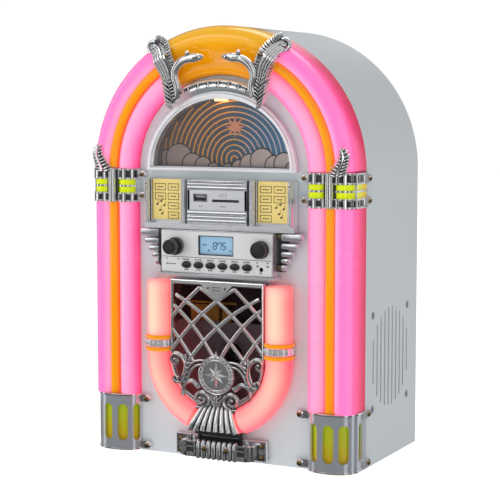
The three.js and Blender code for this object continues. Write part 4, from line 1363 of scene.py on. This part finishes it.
def make_display():
    bezel = Shape().prism(SCREEN, (-13.4, -11), [rect(-16.3, 16.3, 180.7, 196.3)])
    bezel.make("lcd_bezel", "black", "cabinet", "black_plastic")
    screen = Shape().box((-16.4, 16.4), (-11.8, -4.7), (180.6, 196.4))
    screen.make("lcd_screen", "lcd", "cabinet", "lcd", ["lcd_display"], bevel=0.2)
    digits = Shape()
    for x, segments in ((-3.6, "abcdefg"), (0.8, "abcf"), (5.2, "afgcd")):
        add_digit(digits, segments, x, 185.4)
    for x, z in ((-13.5, 188.4), (-12, 188.4), (-10.8, 188.4), (-8.4, 183.6), (-7.2, 183.6),
                 (12.2, 184), (13.6, 184)):
        digits.box((x, x + 1.0), (-11.92, -11.76), (z, z + 1.0))
    digits.make("lcd_digits", "digit", "cabinet", "lcd")


def add_digit(shape, segments, x, z):
    """One slanted seven-segment figure."""
    w, h, half, lean = 3.2, 5.8, 0.4, 0.14
    bars = {
        "a": ((0, h), (w, h)), "b": ((w, h), (w, h / 2)), "c": ((w, h / 2), (w, 0)), "d": ((0, 0), (w, 0)),
        "e": ((0, h / 2), (0, 0)), "f": ((0, h), (0, h / 2)), "g": ((0, h / 2), (w, h / 2)),
    }
    for name in segments:
        (ax, az), (bx, bz) = bars[name]
        size = math.hypot(bx - ax, bz - az)
        ux, uz = (bx - ax) / size, (bz - az) / size
        points = []
        for along, off in ((0.25, 0), (0.55, half), (size - 0.55, half), (size - 0.25, 0),
                           (size - 0.55, -half), (0.55, -half)):
            px, pz = ax + ux * along - uz * off, az + uz * along + ux * off
            points.append((x + px + pz * lean, z + pz))
        shape.prism(points, (-11.94, -11.76))


def make_controls():
    cap = [(0.9, -10.0), (1.0, -10.4), (1.0, -14.8), (0.95, -15.5), (0.82, -16.0), (0.5, -16.3),
           (0.0, -16.35)]
    for i, x in enumerate(BUTTON_X, 1):
        key = Shape()
        centre = (x, 0, BUTTON_Z)
        key.lathe([(4.3 * share, y) for share, y in cap], centre, "y", 32, squash=0.655)
        key.lathe([(0, -9.8), (5.2, -9.8), (5.2, -10.7), (0, -10.7)], centre, "y", 24, squash=0.75)
        key.lathe([(0, -6.1), (1.4, -6.1), (1.4, -9.9), (0, -9.9)], centre, "y", 12)
        key.make(f"key_{i}", "key", f"button_body_{i}", "black_plastic", [f"button_{i}"], angle=50)
    make_knob("volume", KNOB_X[0], ((7.8, -14.2, -18.6), (6.5, -18.6, -27.4)))
    make_knob("tuning", KNOB_X[1], ((7.8, -14.2, -16.4), (7.3, -16.4, -21.2)))


def make_knob(label, x, steps):
    """A stepped knob with a knurled edge, rings on its face and a pointer."""
    teeth, notch = 44, 0.25
    knob = Shape()
    centre = (x, 0, KNOB_Z)
    knob.lathe([(0, -5.2), (2.9, -5.2), (2.9, -14.3), (0, -14.3)], centre, "y", 20)
    for radius, back, front in steps:
        knob.lathe([(0.0, back), (radius * 0.96, back), (radius, back - 0.4, notch),
                    (radius, front + 0.7, notch), (radius - 0.5, front + 0.1), (radius - 1.0, front),
                    (0.0, front)], centre, "y", 2 * teeth)
    for share in (0.78, 0.5):
        knob.ring(x, front - 0.1, KNOB_Z, radius * share, 0.32, 40, 6)
    pointer_z = (KNOB_Z + radius * 0.52, KNOB_Z + radius * 0.76)
    knob.box((x - 0.45, x + 0.45), (front - 0.35, front + 0.2), pointer_z)
    knob.make(f"{label}_knob_cap", "knob", f"{label}_knob", "black_plastic", [f"knob_{label}"], angle=28)


# ---------------------------------------------------------------- front door

TUBE_X, TUBE_Y, TUBE_R = 57.8, -8.0, 11.8
TUBE_TOP = 156.5
TUBE_END = math.radians(-66)
DOOR_BACK = -0.5
DOOR_FOOT = 48.8
RIM_R = 45.6
LATTICE = (
    ((-46, 123), (-16.5, 152), 0.5), ((-44, 96.5), (16.5, 151.5), 4), ((-28, 87), (46, 147), 6),
    ((3, 90), (46, 137.5), 3.5), ((23, 86), (46, 116), 1),
)


def tube_section(grow=0.0, steps=28, edge=-math.inf):
    """The tube's round front, open at the door, and cut off at edge beside the rim."""
    radius = TUBE_R + grow
    start = math.degrees(math.asin((DOOR_BACK - TUBE_Y) / radius))
    section = arc(TUBE_X, TUBE_Y, radius, radius, start, -180 - start, steps)
    return [(max(x, edge), y) for x, y in section]


def below(side, angle):
    c, s = math.cos(angle), math.sin(angle)
    return lambda p: (side * p[0] * c, p[1], CD_Z + p[0] * s)


def make_tubes():
    section = tube_section()
    tint_and_shade = lengths(section)
    clip_edge = 45.9
    for side, label in SIDES:
        column, _ = on_side(side)

        def shrunk(z, scale):
            return lambda p: (side * (TUBE_X + (p[0] - TUBE_X) * scale),
                              min(TUBE_Y + (p[1] - TUBE_Y) * scale, DOOR_BACK), z)

        stations = [shrunk(TUBE_TOP - drop, scale) for drop, scale in ((0, 0.86), (0.3, 0.94), (1.1, 0.985))]
        stations += [column(z) for z in spread(TUBE_TOP - 2.2, CD_Z, 18)]
        stations += [below(side, a) for a in spread(0, TUBE_END, 30)[1:]]
        Shape().sweep(section, stations, tint_and_shade).make(
            f"lamp_tube_{label}", "tube", "door", "tube_diffuser", [f"door_tube_{label}"])
        rings, band = Shape(), Shape()
        for z in (106.6, 95.9):
            for grow, half in ((1.9, 0.9), (1.5, 1.35), (0.9, 1.6)):
                rings.sweep(tube_section(grow, edge=clip_edge), [column(z - half), column(z + half)])
        rings.make(f"tube_rings_{label}", "orange", "door", "orange_diffuser", angle=60, bevel=0.3)
        band.sweep(tube_section(1.0, 36, clip_edge), [column(98.2), column(104.3)])
        for x, y in arc(TUBE_X, TUBE_Y, 13.0, 13.0, -10, -170, 8):
            if x > 46.5:
                stud = [(x, y - 0.2, 99.4), (x, y, 101.25), (x, y - 0.2, 103.1)]
                band.tube(flip(side, stud), [0.5, 1.15, 0.5], 6)
        band.make(
            f"tube_clip_{label}", "medal", "door", "chrome", [f"tube_band_{label}"], angle=25, bevel=0.2)


def bowed(start, end, bulge, steps):
    (x0, z0), (x1, z1) = start, end
    reach = 4 * bulge / math.dist(start, end)
    return [(x0 + (x1 - x0) * t - (z1 - z0) * reach * t * (1 - t),
             z0 + (z1 - z0) * t + (x1 - x0) * reach * t * (1 - t)) for t in spread(0, 1, steps)]


def door_outline(radius, top, foot=-math.inf):
    outline = [(radius, top), (-radius, top), *arc(0, CD_Z, radius, radius, 180, 360, 48)]
    return [(x, max(z, foot)) for x, z in outline]


def inside_rim(x, z, margin):
    radius = RIM_R - margin
    return abs(x) <= radius and (z >= CD_Z or math.hypot(x, z - CD_Z) <= radius) and z < 157


def within_rim(line, margin):
    return [p for p in line if inside_rim(*p, margin)]


def make_lattice():
    grille, marks = Shape(), Shape()
    rim_x = RIM_R - 0.9
    rim_run = [(rim_x, 157), *arc(0, CD_Z, rim_x, rim_x, 0, -64, 24)]
    for side in (-1, 1):
        for start, end, bulge in LATTICE:
            line = within_rim(bowed(start, end, bulge, 16), 0.8)
            grille.tube(at_depth(line, -11.2, side), 1.75, 10, 0.75)
            grille.tube(at_depth(line, -12.3, side), 0.75, 8, 0.7)
        grille.tube(at_depth(rim_run, -12.4, side), 0.75, 8)
        marks.prism([(side * 7.6, 152.8), (side * 9.4, 151.6), (side * 7.6, 150.4)], (-12.75, -12.55))
    grille.prism([(-17.5, 156.5), (17.5, 156.5), (0, 139.4)], (-12.6, -10.4))
    hole = door_outline(RIM_R - 2.3, 154.6, 50.8)
    grille.prism(door_outline(RIM_R, 158, DOOR_FOOT), (-12.4, -10), [hole[::-1]])
    grille.tube([(-RIM_R + 1, -12.4, 157), (RIM_R - 1, -12.4, 157)], 0.75, 8)
    grille.make("lattice", "bright", "door", "chrome", ["door_grille"], angle=40, bevel=0.15)
    for z in ((152.1, 152.6), (149.7, 150.2)):
        marks.boxes([(x, x + 1.5) for x in (-4.2, -2, 0.2, 2.4)], (-12.72, -12.55), z)
    marks.make("lattice_marks", "ink", "door", "black_plastic")


# points, girth and lift of each scroll
SCROLLS = (
    (((30.6, 74), (30.2, 80), (31.6, 86), (35.4, 90.6), (40.4, 92), (43.8, 89.6), (44, 86),
      (41.6, 84), (39.6, 85.8), (40.8, 87.8)), 1.9, 0.0),
    (((30.6, 76), (32.4, 70.6), (36.4, 67.2), (40.6, 67.6), (42, 70.8), (40, 73), (37.8, 71.6)), 1.7, 0.3),
    (((15.6, 66.4), (18.4, 64.2), (20.4, 66.4), (24.4, 69.0), (30, 67.2), (33.2, 61), (32.4, 54),
      (27, 48.8), (19.6, 46.6), (12.4, 47), (8, 50.4), (7.4, 55.4), (11, 59.2), (16, 59.4),
      (19.6, 56.2), (19.4, 51.8), (16, 49.6), (12.6, 51.4), (12.8, 54.6), (15.6, 55.4)), 1.9, 0.0),
)
STRANDS = (
    ((12, 88.4), (20, 87.4), (26, 83), (30, 76), (34.6, 68), (36, 60)),
    ((14, 84.6), (20, 83.2), (25, 78.6), (28.6, 72), (32.4, 65), (33.8, 57.4)),
    ((30.4, 92.6), (30.8, 86), (31.8, 78), (35.4, 69), (37.8, 63)),
)


def beside(line, reach):
    """The line moved sideways by reach."""
    last = len(line) - 1
    moved = []
    for i, (x, z) in enumerate(line):
        (ax, az), (bx, bz) = line[max(i - 1, 0)], line[min(i + 1, last)]
        size = math.dist((ax, az), (bx, bz)) or 1
        moved.append((x - (bz - az) / size * reach, z + (bx - ax) / size * reach))
    return moved


def add_scroll(work, side, points, wide, lift):
    """A tapered curl with a fine ridge on it, a thinner line beside it and a bead at its end."""
    line = smooth_line(points)
    share = [min(1, t * 0.9 + 0.08) for t in spread(0, 1, len(line) - 1)]
    taper = [wide * (0.62 + 0.38 * math.sin(math.pi * t)) for t in share]
    work.tube(at_depth(line, -12.6 - lift, side), taper, 10, 0.85)
    work.tube(at_depth(line, -14.3 - lift, side), [0.42 * t for t in taper], 6)
    work.tube(at_depth(within_rim(beside(line, 1.7), 0.6), -12.2 - lift, side), 0.75, 8)
    work.bead(at_depth(line[-1:], -13.6, side)[0], 1.7, 12, 0.9)


def make_scrolls():
    work = Shape()
    for side in (-1, 1):
        for scroll in SCROLLS:
            add_scroll(work, side, *scroll)
        for strand in STRANDS:
            line = within_rim(smooth_line(strand), 1.5)
            work.tube(at_depth(line, -12.4, side), swell(len(line), 0.5, 0.8, 0.1, 0.9), 8)
        for t in spread(0, 1, 5):
            x, z = 27.8 + 5.4 * t, 84 - 21 * t
            leaf = smooth_line([(x - 2.6, z + 1.6), (x + 0.6, z + 0.4), (x + 3.2, z - 2.6)], 4)
            leaf = within_rim(leaf, 1.2)
            if len(leaf) > 4:
                work.tube(at_depth(leaf, -12.9, side), swell(len(leaf), 0.4, 0.8), 8)
        for z, reach in ((60.4, 3.0), (57.4, 4.6), (54.4, 5.4), (51.6, 4.6)):
            line = smooth_line([(0, z - 3), (reach * 0.7, z - 1), (reach, z + 1.6)], 4)
            work.tube(at_depth(line, -12.9, side), [1.2, 1.2, 1.1, 1.1, 1.0, 0.9, 0.8, 0.6, 0.4], 8)
    work.tube([(0, -13.2, 60.5), (0, -13.6, 55), (0, -13.2, 49.4)], [1.2, 1.7, 1.3], 10)
    work.make("scrollwork", "shaded_relief", "door", "chrome", angle=50)


def make_medallion():
    disc = Shape()
    mid_z = 76
    centre = (0, 0, mid_z)
    disc.lathe([(0, -10.6), (16.8, -10.6), (17, -12.6), (16.4, -13.8), (13.6, -14.0), (13.1, -13.2),
                (12.4, -13.2), (0, -13.2)], centre, "y", 64)
    for radius, thick in ((16.3, 0.7), (13.2, 0.6)):
        disc.ring(0, -14.0, mid_z, radius, thick, 64, 8)
    for x, z in arc(0, mid_z, 14.8, 14.8, 7.5, 352.5, 23):
        disc.bead((x, -14.0, z), 1.15, 10, 0.8)
    tips = 8
    peak = (0, -17.4, mid_z)
    for i in range(tips):
        a = math.pi / 2 + 2 * math.pi * i / tips
        reach = 12.2 if i % 2 == 0 else 9.4
        tip = (reach * math.cos(a), -13.3, mid_z + reach * math.sin(a))
        for b in (a - math.pi / tips, a + math.pi / tips):
            notch = (4.3 * math.cos(b), -13.9, mid_z + 4.3 * math.sin(b))
            base = [(x, -13.0, z) for x, _, z in (peak, tip, notch)]
            disc.add([peak, tip, notch, *base],
                     [(0, 1, 2), (5, 4, 3), (0, 3, 4, 1), (1, 4, 5, 2), (2, 5, 3, 0)])
    spike = smooth_line([(-3.4, 92), (-1.6, 93.6), (0, 97.4), (1.6, 93.6), (3.4, 92)], 4)
    disc.prism([*spike, (0, 90)], (-14.2, -11.6))
    disc.bead((0, -14.4, 93.4), 1.2)
    field = Shape().lathe([(0, -13.1), (12.4, -13.1), (12.4, -13.3), (0, -13.3)], centre, "y", 48)
    field.make("medallion_field", "field", "door", "chrome")
    disc.make("medallion", "bright", "door", "chrome", angle=22, bevel=0.12)


def make_door_pane():
    Shape().prism(door_outline(RIM_R - 0.1, 157.8, DOOR_FOOT), (-4.2, -2.6)).make(
        "door_pane", "smoke", "door", "smoked", ["door_window"], bevel=0.3)


def make_ribs():
    """The cast skirt below the door, and the leaf that the door tips on."""
    top_z, low_z = 48.6, 28.2
    top_half, low_half = 13.4, 23.2
    profile = smooth_line(
        [(top_z, -12.6), (46.4, -14.8), (42.6, -16.9), (38, -18.9), (33, -20.6), (low_z, -21.3)], 5)
    skirt = Shape()

    def half_at(z):
        return top_half + (low_half - top_half) * (top_z - z) / (top_z - low_z)

    for u in spread(-1, 1, 7):
        line = [(u * half_at(z) * 0.985, y + 2.0, z) for z, y in profile]
        skirt.tube(line, spread(1.75, 2.9, len(line) - 1), 14, 1.3)
        x, y, z = line[0]
        skirt.bead((x, y + 0.4, z - 0.1), 1.9, 12, 1.1)
    rows = []
    for z, y in profile:
        reach = half_at(z) + 1.2
        rows.append([(-reach, DOOR_BACK, z), (-reach, y + 3.4, z),
                     (reach, y + 3.4, z), (reach, DOOR_BACK, z)])
    skirt.skin(rows)
    for side in (-1, 1):
        skirt.tube([(side * (half_at(z) + 1.1), y + 2.2, z) for z, y in profile], 1.1, 8)
    skirt.make("door_skirt", "shaded_relief", "door", "chrome", ["door_ribs"], angle=50)
    hinge = Shape()
    hinge.lathe([(0, -18.2), (2.5, -18.2), (2.5, 18.2), (0, 18.2)], (0, -6, 24), "x", 20)
    hinge.box((-18.2, 18.2), (-7.4, -4.6), (24, 28.6))
    hinge.boxes([(x - 0.55, x + 0.55) for x in spread(-20.9, 20.9, 22)], (-12.4, -8.4), (23.4, 28.4))
    hinge.box((-22, 22), (-9.4, -8.2), (23.6, 28.4))
    hinge.make("door_hinge_leaf", "dark", "door", "black_plastic", bevel=0.15)


# ---------------------------------------------------------------- base plate

def make_base():
    base, dark, screws = Shape(), Shape(), Shape()
    base.box((-44, 44), (-4.6, -0.4), (3, 20.4))
    base.prism(rect(-44, 44, 3, 20.4), (-5.2, -4.4), [rect(-42.8, 42.8, 4.2, 19.2)[::-1]])
    base.pairs([(33.4, 36)], (-12, -4.4), (3.4, 16.6))
    base.pairs([(20.6, 33.4)], (-14.6, -4.4), (3.4, 16.6))
    for z in ((3.2, 7.2), (11.6, 13.0), (15.6, 17.0)):
        base.pairs([(20.8, 30.4)], (-15.6, -12), z)
    base.pairs([(28.8, 30.6), (19.8, 21.2)], (-15.6, -12), (3.2, 17))
    base.pairs([(25.4, 28.4)], (-12.6, -9), (16.4, 22.2))
    base.box((-20.4, 20.4), (-13.6, -4.4), (2.6, 16))
    for x in spread(-17.9, 17.9, 7):
        rib = [(x, -12.8, 2.2), (x, -13.2, 3.4), (x, -13.2, 14.6), (x, -12.4, 17.0)]
        base.tube(rib, [1.7, 2.3, 2.3, 1.9], 14)
        base.bead((x, -11.8, 16.6), 2.2, 12)
    for side in (-1, 1):
        for z in (5.9, 15.9):
            add_screw(screws, (side * 39.6, -5.8, z), radius=1.9)
        x = side * 10.5
        base.lathe([(0, -12), (3.3, -12), (3.3, -15.6), (2.8, -16), (0, -16)], (x, 0, 11.4), "y", 24)
        add_screw(screws, (x, -16.4, 11.4), radius=2.3)
    base.make("base_block", "shaded_relief", "cabinet", "chrome", ["base_plate"], bevel=0.25)
    dark.pairs([(21.2, 28.8)], (-14.9, -13), (7.2, 15.6))
    dark.boxes([(x - 0.5, x + 0.5) for x in spread(-19, 19, 20)], (-9.6, -5), (16, 19.6))
    dark.box((-21, 21), (-8.4, -4.8), (15.6, 18.8))
    dark.pairs([(18.9, 21.3)], (-7.2, -4.4), (16, 25))
    dark.make("base_recess", "dark", "cabinet", "black_plastic", bevel=0.12)
    screws.make("base_screws", "brass", "cabinet", "chrome")


# ---------------------------------------------------------------- cabinet

SPEAKER_Y, SPEAKER_Z = 77.5, 89.6
SLOT_REACH = 44.0
SPEAKER_SCREW = 40.6


def arch_outline(radius, bottom):
    return [(-radius, bottom), (radius, bottom), *arc(0, ARCH_Z, radius, radius, 0, 180, 96)]


def make_cabinet():
    shell = Shape().prism(arch_outline(125, 0), (20.3, 142), [arch_outline(122, 3)[::-1]])
    obj = shell.make("shell", "cabinet", "cabinet", "cabinet_plastic", ["cabinet_shell"])
    edge = Shape().prism(arch_outline(125, 0), (20.1, 20.3), [arch_outline(123.4, 1.6)[::-1]])
    edge.make("shell_seam", "seam", "cabinet", "cabinet_plastic")

    cutter, screws, bosses = Shape(), Shape(), Shape()
    corners = (-SPEAKER_SCREW, SPEAKER_SCREW)
    spots = [(SPEAKER_Y + dy, SPEAKER_Z + dz) for dy in corners for dz in corners]
    for side in (-1, 1):
        wall = sorted((side * 120, side * 130))
        for i in range(10):
            off = (i - 4.5) * 8.8
            half = math.sqrt(SLOT_REACH ** 2 - off ** 2)
            slot = slot_outline(SPEAKER_Y + off, SPEAKER_Z - half, SPEAKER_Z + half, 1.35, 6)
            cutter.prism(slot, wall, plane="yz")
        for y, z in spots:
            cutter.prism(loop(y, z, 3.6, 3.6, 24), wall, plane="yz")
            bosses.lathe([(0, -0.6), (5, -0.6), (5, 0), (0, 0)], (side * 121.6, y, z), "x", 24)
            add_screw(screws, (side * 122.1, y, z), (side, 0, 0), 3.1)
    cut_with(obj, cutter)
    bosses.make("speaker_bosses", "dark", "cabinet", "black_plastic")
    screws.make("speaker_screws", "blackscrew", "cabinet", "steel")
    for side, label in SIDES:
        make_driver(side, label)


def make_driver(side, label):
    """A loudspeaker: cone, surround, basket and magnet, on a square flange."""
    unit = Shape()
    x = side * 118.4
    profile = [(0, 3.0), (9, 1.0), (12, -3), (36, 1.2), (39, 2.6), (42, 2.6), (44, 1.4), (46, 2.4),
               (46, -1), (40, -3), (28, -22), (28, -33), (0, -33)]
    unit.lathe([(r, side * depth) for r, depth in profile], (x, SPEAKER_Y, SPEAKER_Z), "x", 48)
    flange = rect(SPEAKER_Y - 46, SPEAKER_Y + 46, SPEAKER_Z - 46, SPEAKER_Z + 46)
    hole = loop(SPEAKER_Y, SPEAKER_Z, 43, 43, 40)
    unit.prism(flange, sorted((x, x + side * 2.4)), [hole], plane="yz")
    unit.make(f"driver_{label}", "cone", "cabinet", "speaker", [f"speaker_{label}"], angle=40, bevel=0.3)


def long_hole(half, z, radius, steps):
    return [*arc(half, z, radius, radius, -90, 90, steps), *arc(-half, z, radius, radius, 90, 270, steps)]


def make_rear():
    back, screws = Shape(), Shape()
    holes = [rect(-11.3, 11.3, 13.7, 26.3), *[long_hole(28, 202 + 10 * i, 2, 6) for i in range(6)]]
    back.prism(arch_outline(121.6, 3.4), (138.6, 141.0), holes)
    back.tube(at_depth(arch_outline(118.4, 6.6), 141.0), 0.9, 6, closed=True)
    for x in (0, -60, 60):
        back.tube([(x, 140.8, 40), (x, 140.8, 180)], 1.2, 8)
    back.make("back_cover", "cabinet", "cabinet", "cabinet_plastic", ["rear_panel"], bevel=0.3)
    for x, z in ((113, 14), (113, 130), (113, 245), (66, 345)):
        for side in (-1, 1):
            add_screw(screws, (side * x, 141.2, z), (0, 1, 0), 2.6)
    for z in (367.6, 12):
        add_screw(screws, (0, 141.2, z), (0, 1, 0), 2.6)
    screws.make("back_screws", "blackscrew", "cabinet", "steel")

    inlet, pins, feet = Shape(), Shape(), Shape()
    inlet.prism(rect(-11, 11, 14, 26), (127, 141.2), [long_hole(5, 20, 3.9, 10)])
    inlet.box((-10.8, 10.8), (126.8, 128.4), (14.2, 25.8))
    inlet.make("inlet_body", "black", "cabinet", "black_plastic", ["power_inlet"], bevel=0.3)
    for x in (-4.3, 4.3):
        pins.lathe([(0, 128), (1.2, 128), (1.2, 138.4), (0.7, 139), (0, 139)], (x, 0, 20), "y", 16)
    pins.make("inlet_pins", "steel", "cabinet", "steel")
    for x in (-100, 100):
        for y in (36, 126):
            feet.lathe([(0, -2.99), (6.4, -2.99), (7.6, -2.4), (8, -0.3), (0, -0.3)], (x, y, 0), "z", 32)
            feet.lathe([(3, -3.0), (5, -3.0), (5, -2.7), (3, -2.7)], (x, y, 0), "z", 24)
    nodes = [f"rubber_foot_{i}" for i in range(1, 5)]
    feet.make("feet_pads", "rubber", "cabinet", "rubber", nodes, bevel=0.2)


def make_inside():
    """What shows through the door's smoked pane."""
    well, deck, sled, hub = Shape(), Shape(), Shape(), Shape()
    well.prism(door_outline(64.7, 154.2), (4.4, 37.9), [door_outline(62.6, 152)[::-1]])
    well.prism(door_outline(64, 153.6), (35.6, 37.9), [loop(0, CD_Z, 5, 5, 24)])
    # the liner's reddish colour paints the lamp tubes' red light in the well
    well.make("well_liner", "liner", "cabinet", "black_plastic", ["cd_well"], angle=40)
    radius, corner = 62, 12
    outline = [*arc(radius - corner, 106, corner, corner, 0, 90, 8),
               *arc(corner - radius, 106, corner, corner, 90, 180, 8),
               *arc(0, CD_Z, radius, radius, 180, 360, 40)]
    deck.prism(outline, (18.1, 21), [loop(0, CD_Z, 9, 9, 32)])
    for r in (58, 22):
        deck.tube(at_depth(arc(0, CD_Z, r, r, 180, 360, 40), 18.0), 0.6, 6)
    deck.ring(0, 17.9, CD_Z, 13, 0.8, 40, 8)
    deck.boxes([(-44, -36), (36, 44)], (20, 35.2), (70, 110))
    deck.make("deck_plate", "deck", "cabinet", "deck_plastic", ["cd_deck"], bevel=0.5)
    sled.box((-44, -16), (22, 26), (112, 132))
    sled.box((-13, -4), (22, 25), (116, 128))
    sled.tube([(-46, 21.8, 134.4), (2, 21.8, 134.4)], 1.2)
    sled.make("pickup_board", "amberboard", "cabinet", "deck_plastic", bevel=0.6)
    hub.lathe([(0, 13.0), (5.4, 13.0), (6.8, 13.5), (7.4, 14.6), (7.4, 17), (4, 17), (4, 34.4), (0, 34.4)],
              (0, 0, CD_Z), "y", 40)
    for i in range(3):
        a = 2 * math.pi * i / 3 + 0.5
        hub.bead((6.2 * math.cos(a), 14.2, CD_Z + 6.2 * math.sin(a)), 1.1, 12)
    hub.make("disc_hub", "black", "cd_hub", "black_plastic", ["cd_spindle"], bevel=0.2)


# ---------------------------------------------------------------- assembly

# each CAD node takes the material of the longest of these names that it starts with
NODE_MATERIALS = {
    "cabinet_shell": "cabinet", "rear_panel": "cabinet", "front_baffle": "white", "crown_lens": "amber",
    "brow_trim": "chrome", "dome_frame": "satin", "dome_lens": "glass", "dome_artwork": "digit",
    "media_panel": "satin", "usb_socket": "steel", "card_socket": "black", "radio_panel": "black",
    "lcd_display": "lcd", "radio_board": "board", "base_plate": "chrome", "cd_well": "dark",
    "cd_deck": "deck", "main_board": "board", "power_supply": "steel", "power_inlet": "black",
    "knob": "black", "door_grille": "chrome", "door_window": "smoke", "door_ribs": "chrome",
    "cd_spindle": "black", "speaker": "cone", "pillar": "pink", "arch_tube": "pink", "light_strip": "orange",
    "collar_light": "lime", "collar": "chrome", "foot_socket": "chrome", "foot_light": "olive",
    "phoenix": "shaded_relief", "title_card": "card", "door_tube": "tube", "tube_band": "chrome", "button": "black",
    "rubber_foot": "rubber",
}


def dress_nodes():
    for name, node in frame["nodes"].items():
        stem = name
        while stem not in NODE_MATERIALS:
            stem = stem.rsplit("_", 1)[0]
        node.data.materials.clear()
        node.data.materials.append(MATERIALS[NODE_MATERIALS[stem]])


make_materials()
for make in (make_camera, make_studio, make_floor, make_backdrop, make_cabinet, make_rear, make_inside,
             make_columns, make_collars, make_sockets, make_brow, make_dome, make_media_trim,
             make_title_cards, make_ports, make_radio, make_controls, make_tubes, make_door_pane,
             make_lattice, make_scrolls, make_medallion, make_ribs, make_base):
    make()
for bird_side, bird_label in SIDES:
    make_bird(bird_side, bird_label)
dress_nodes()
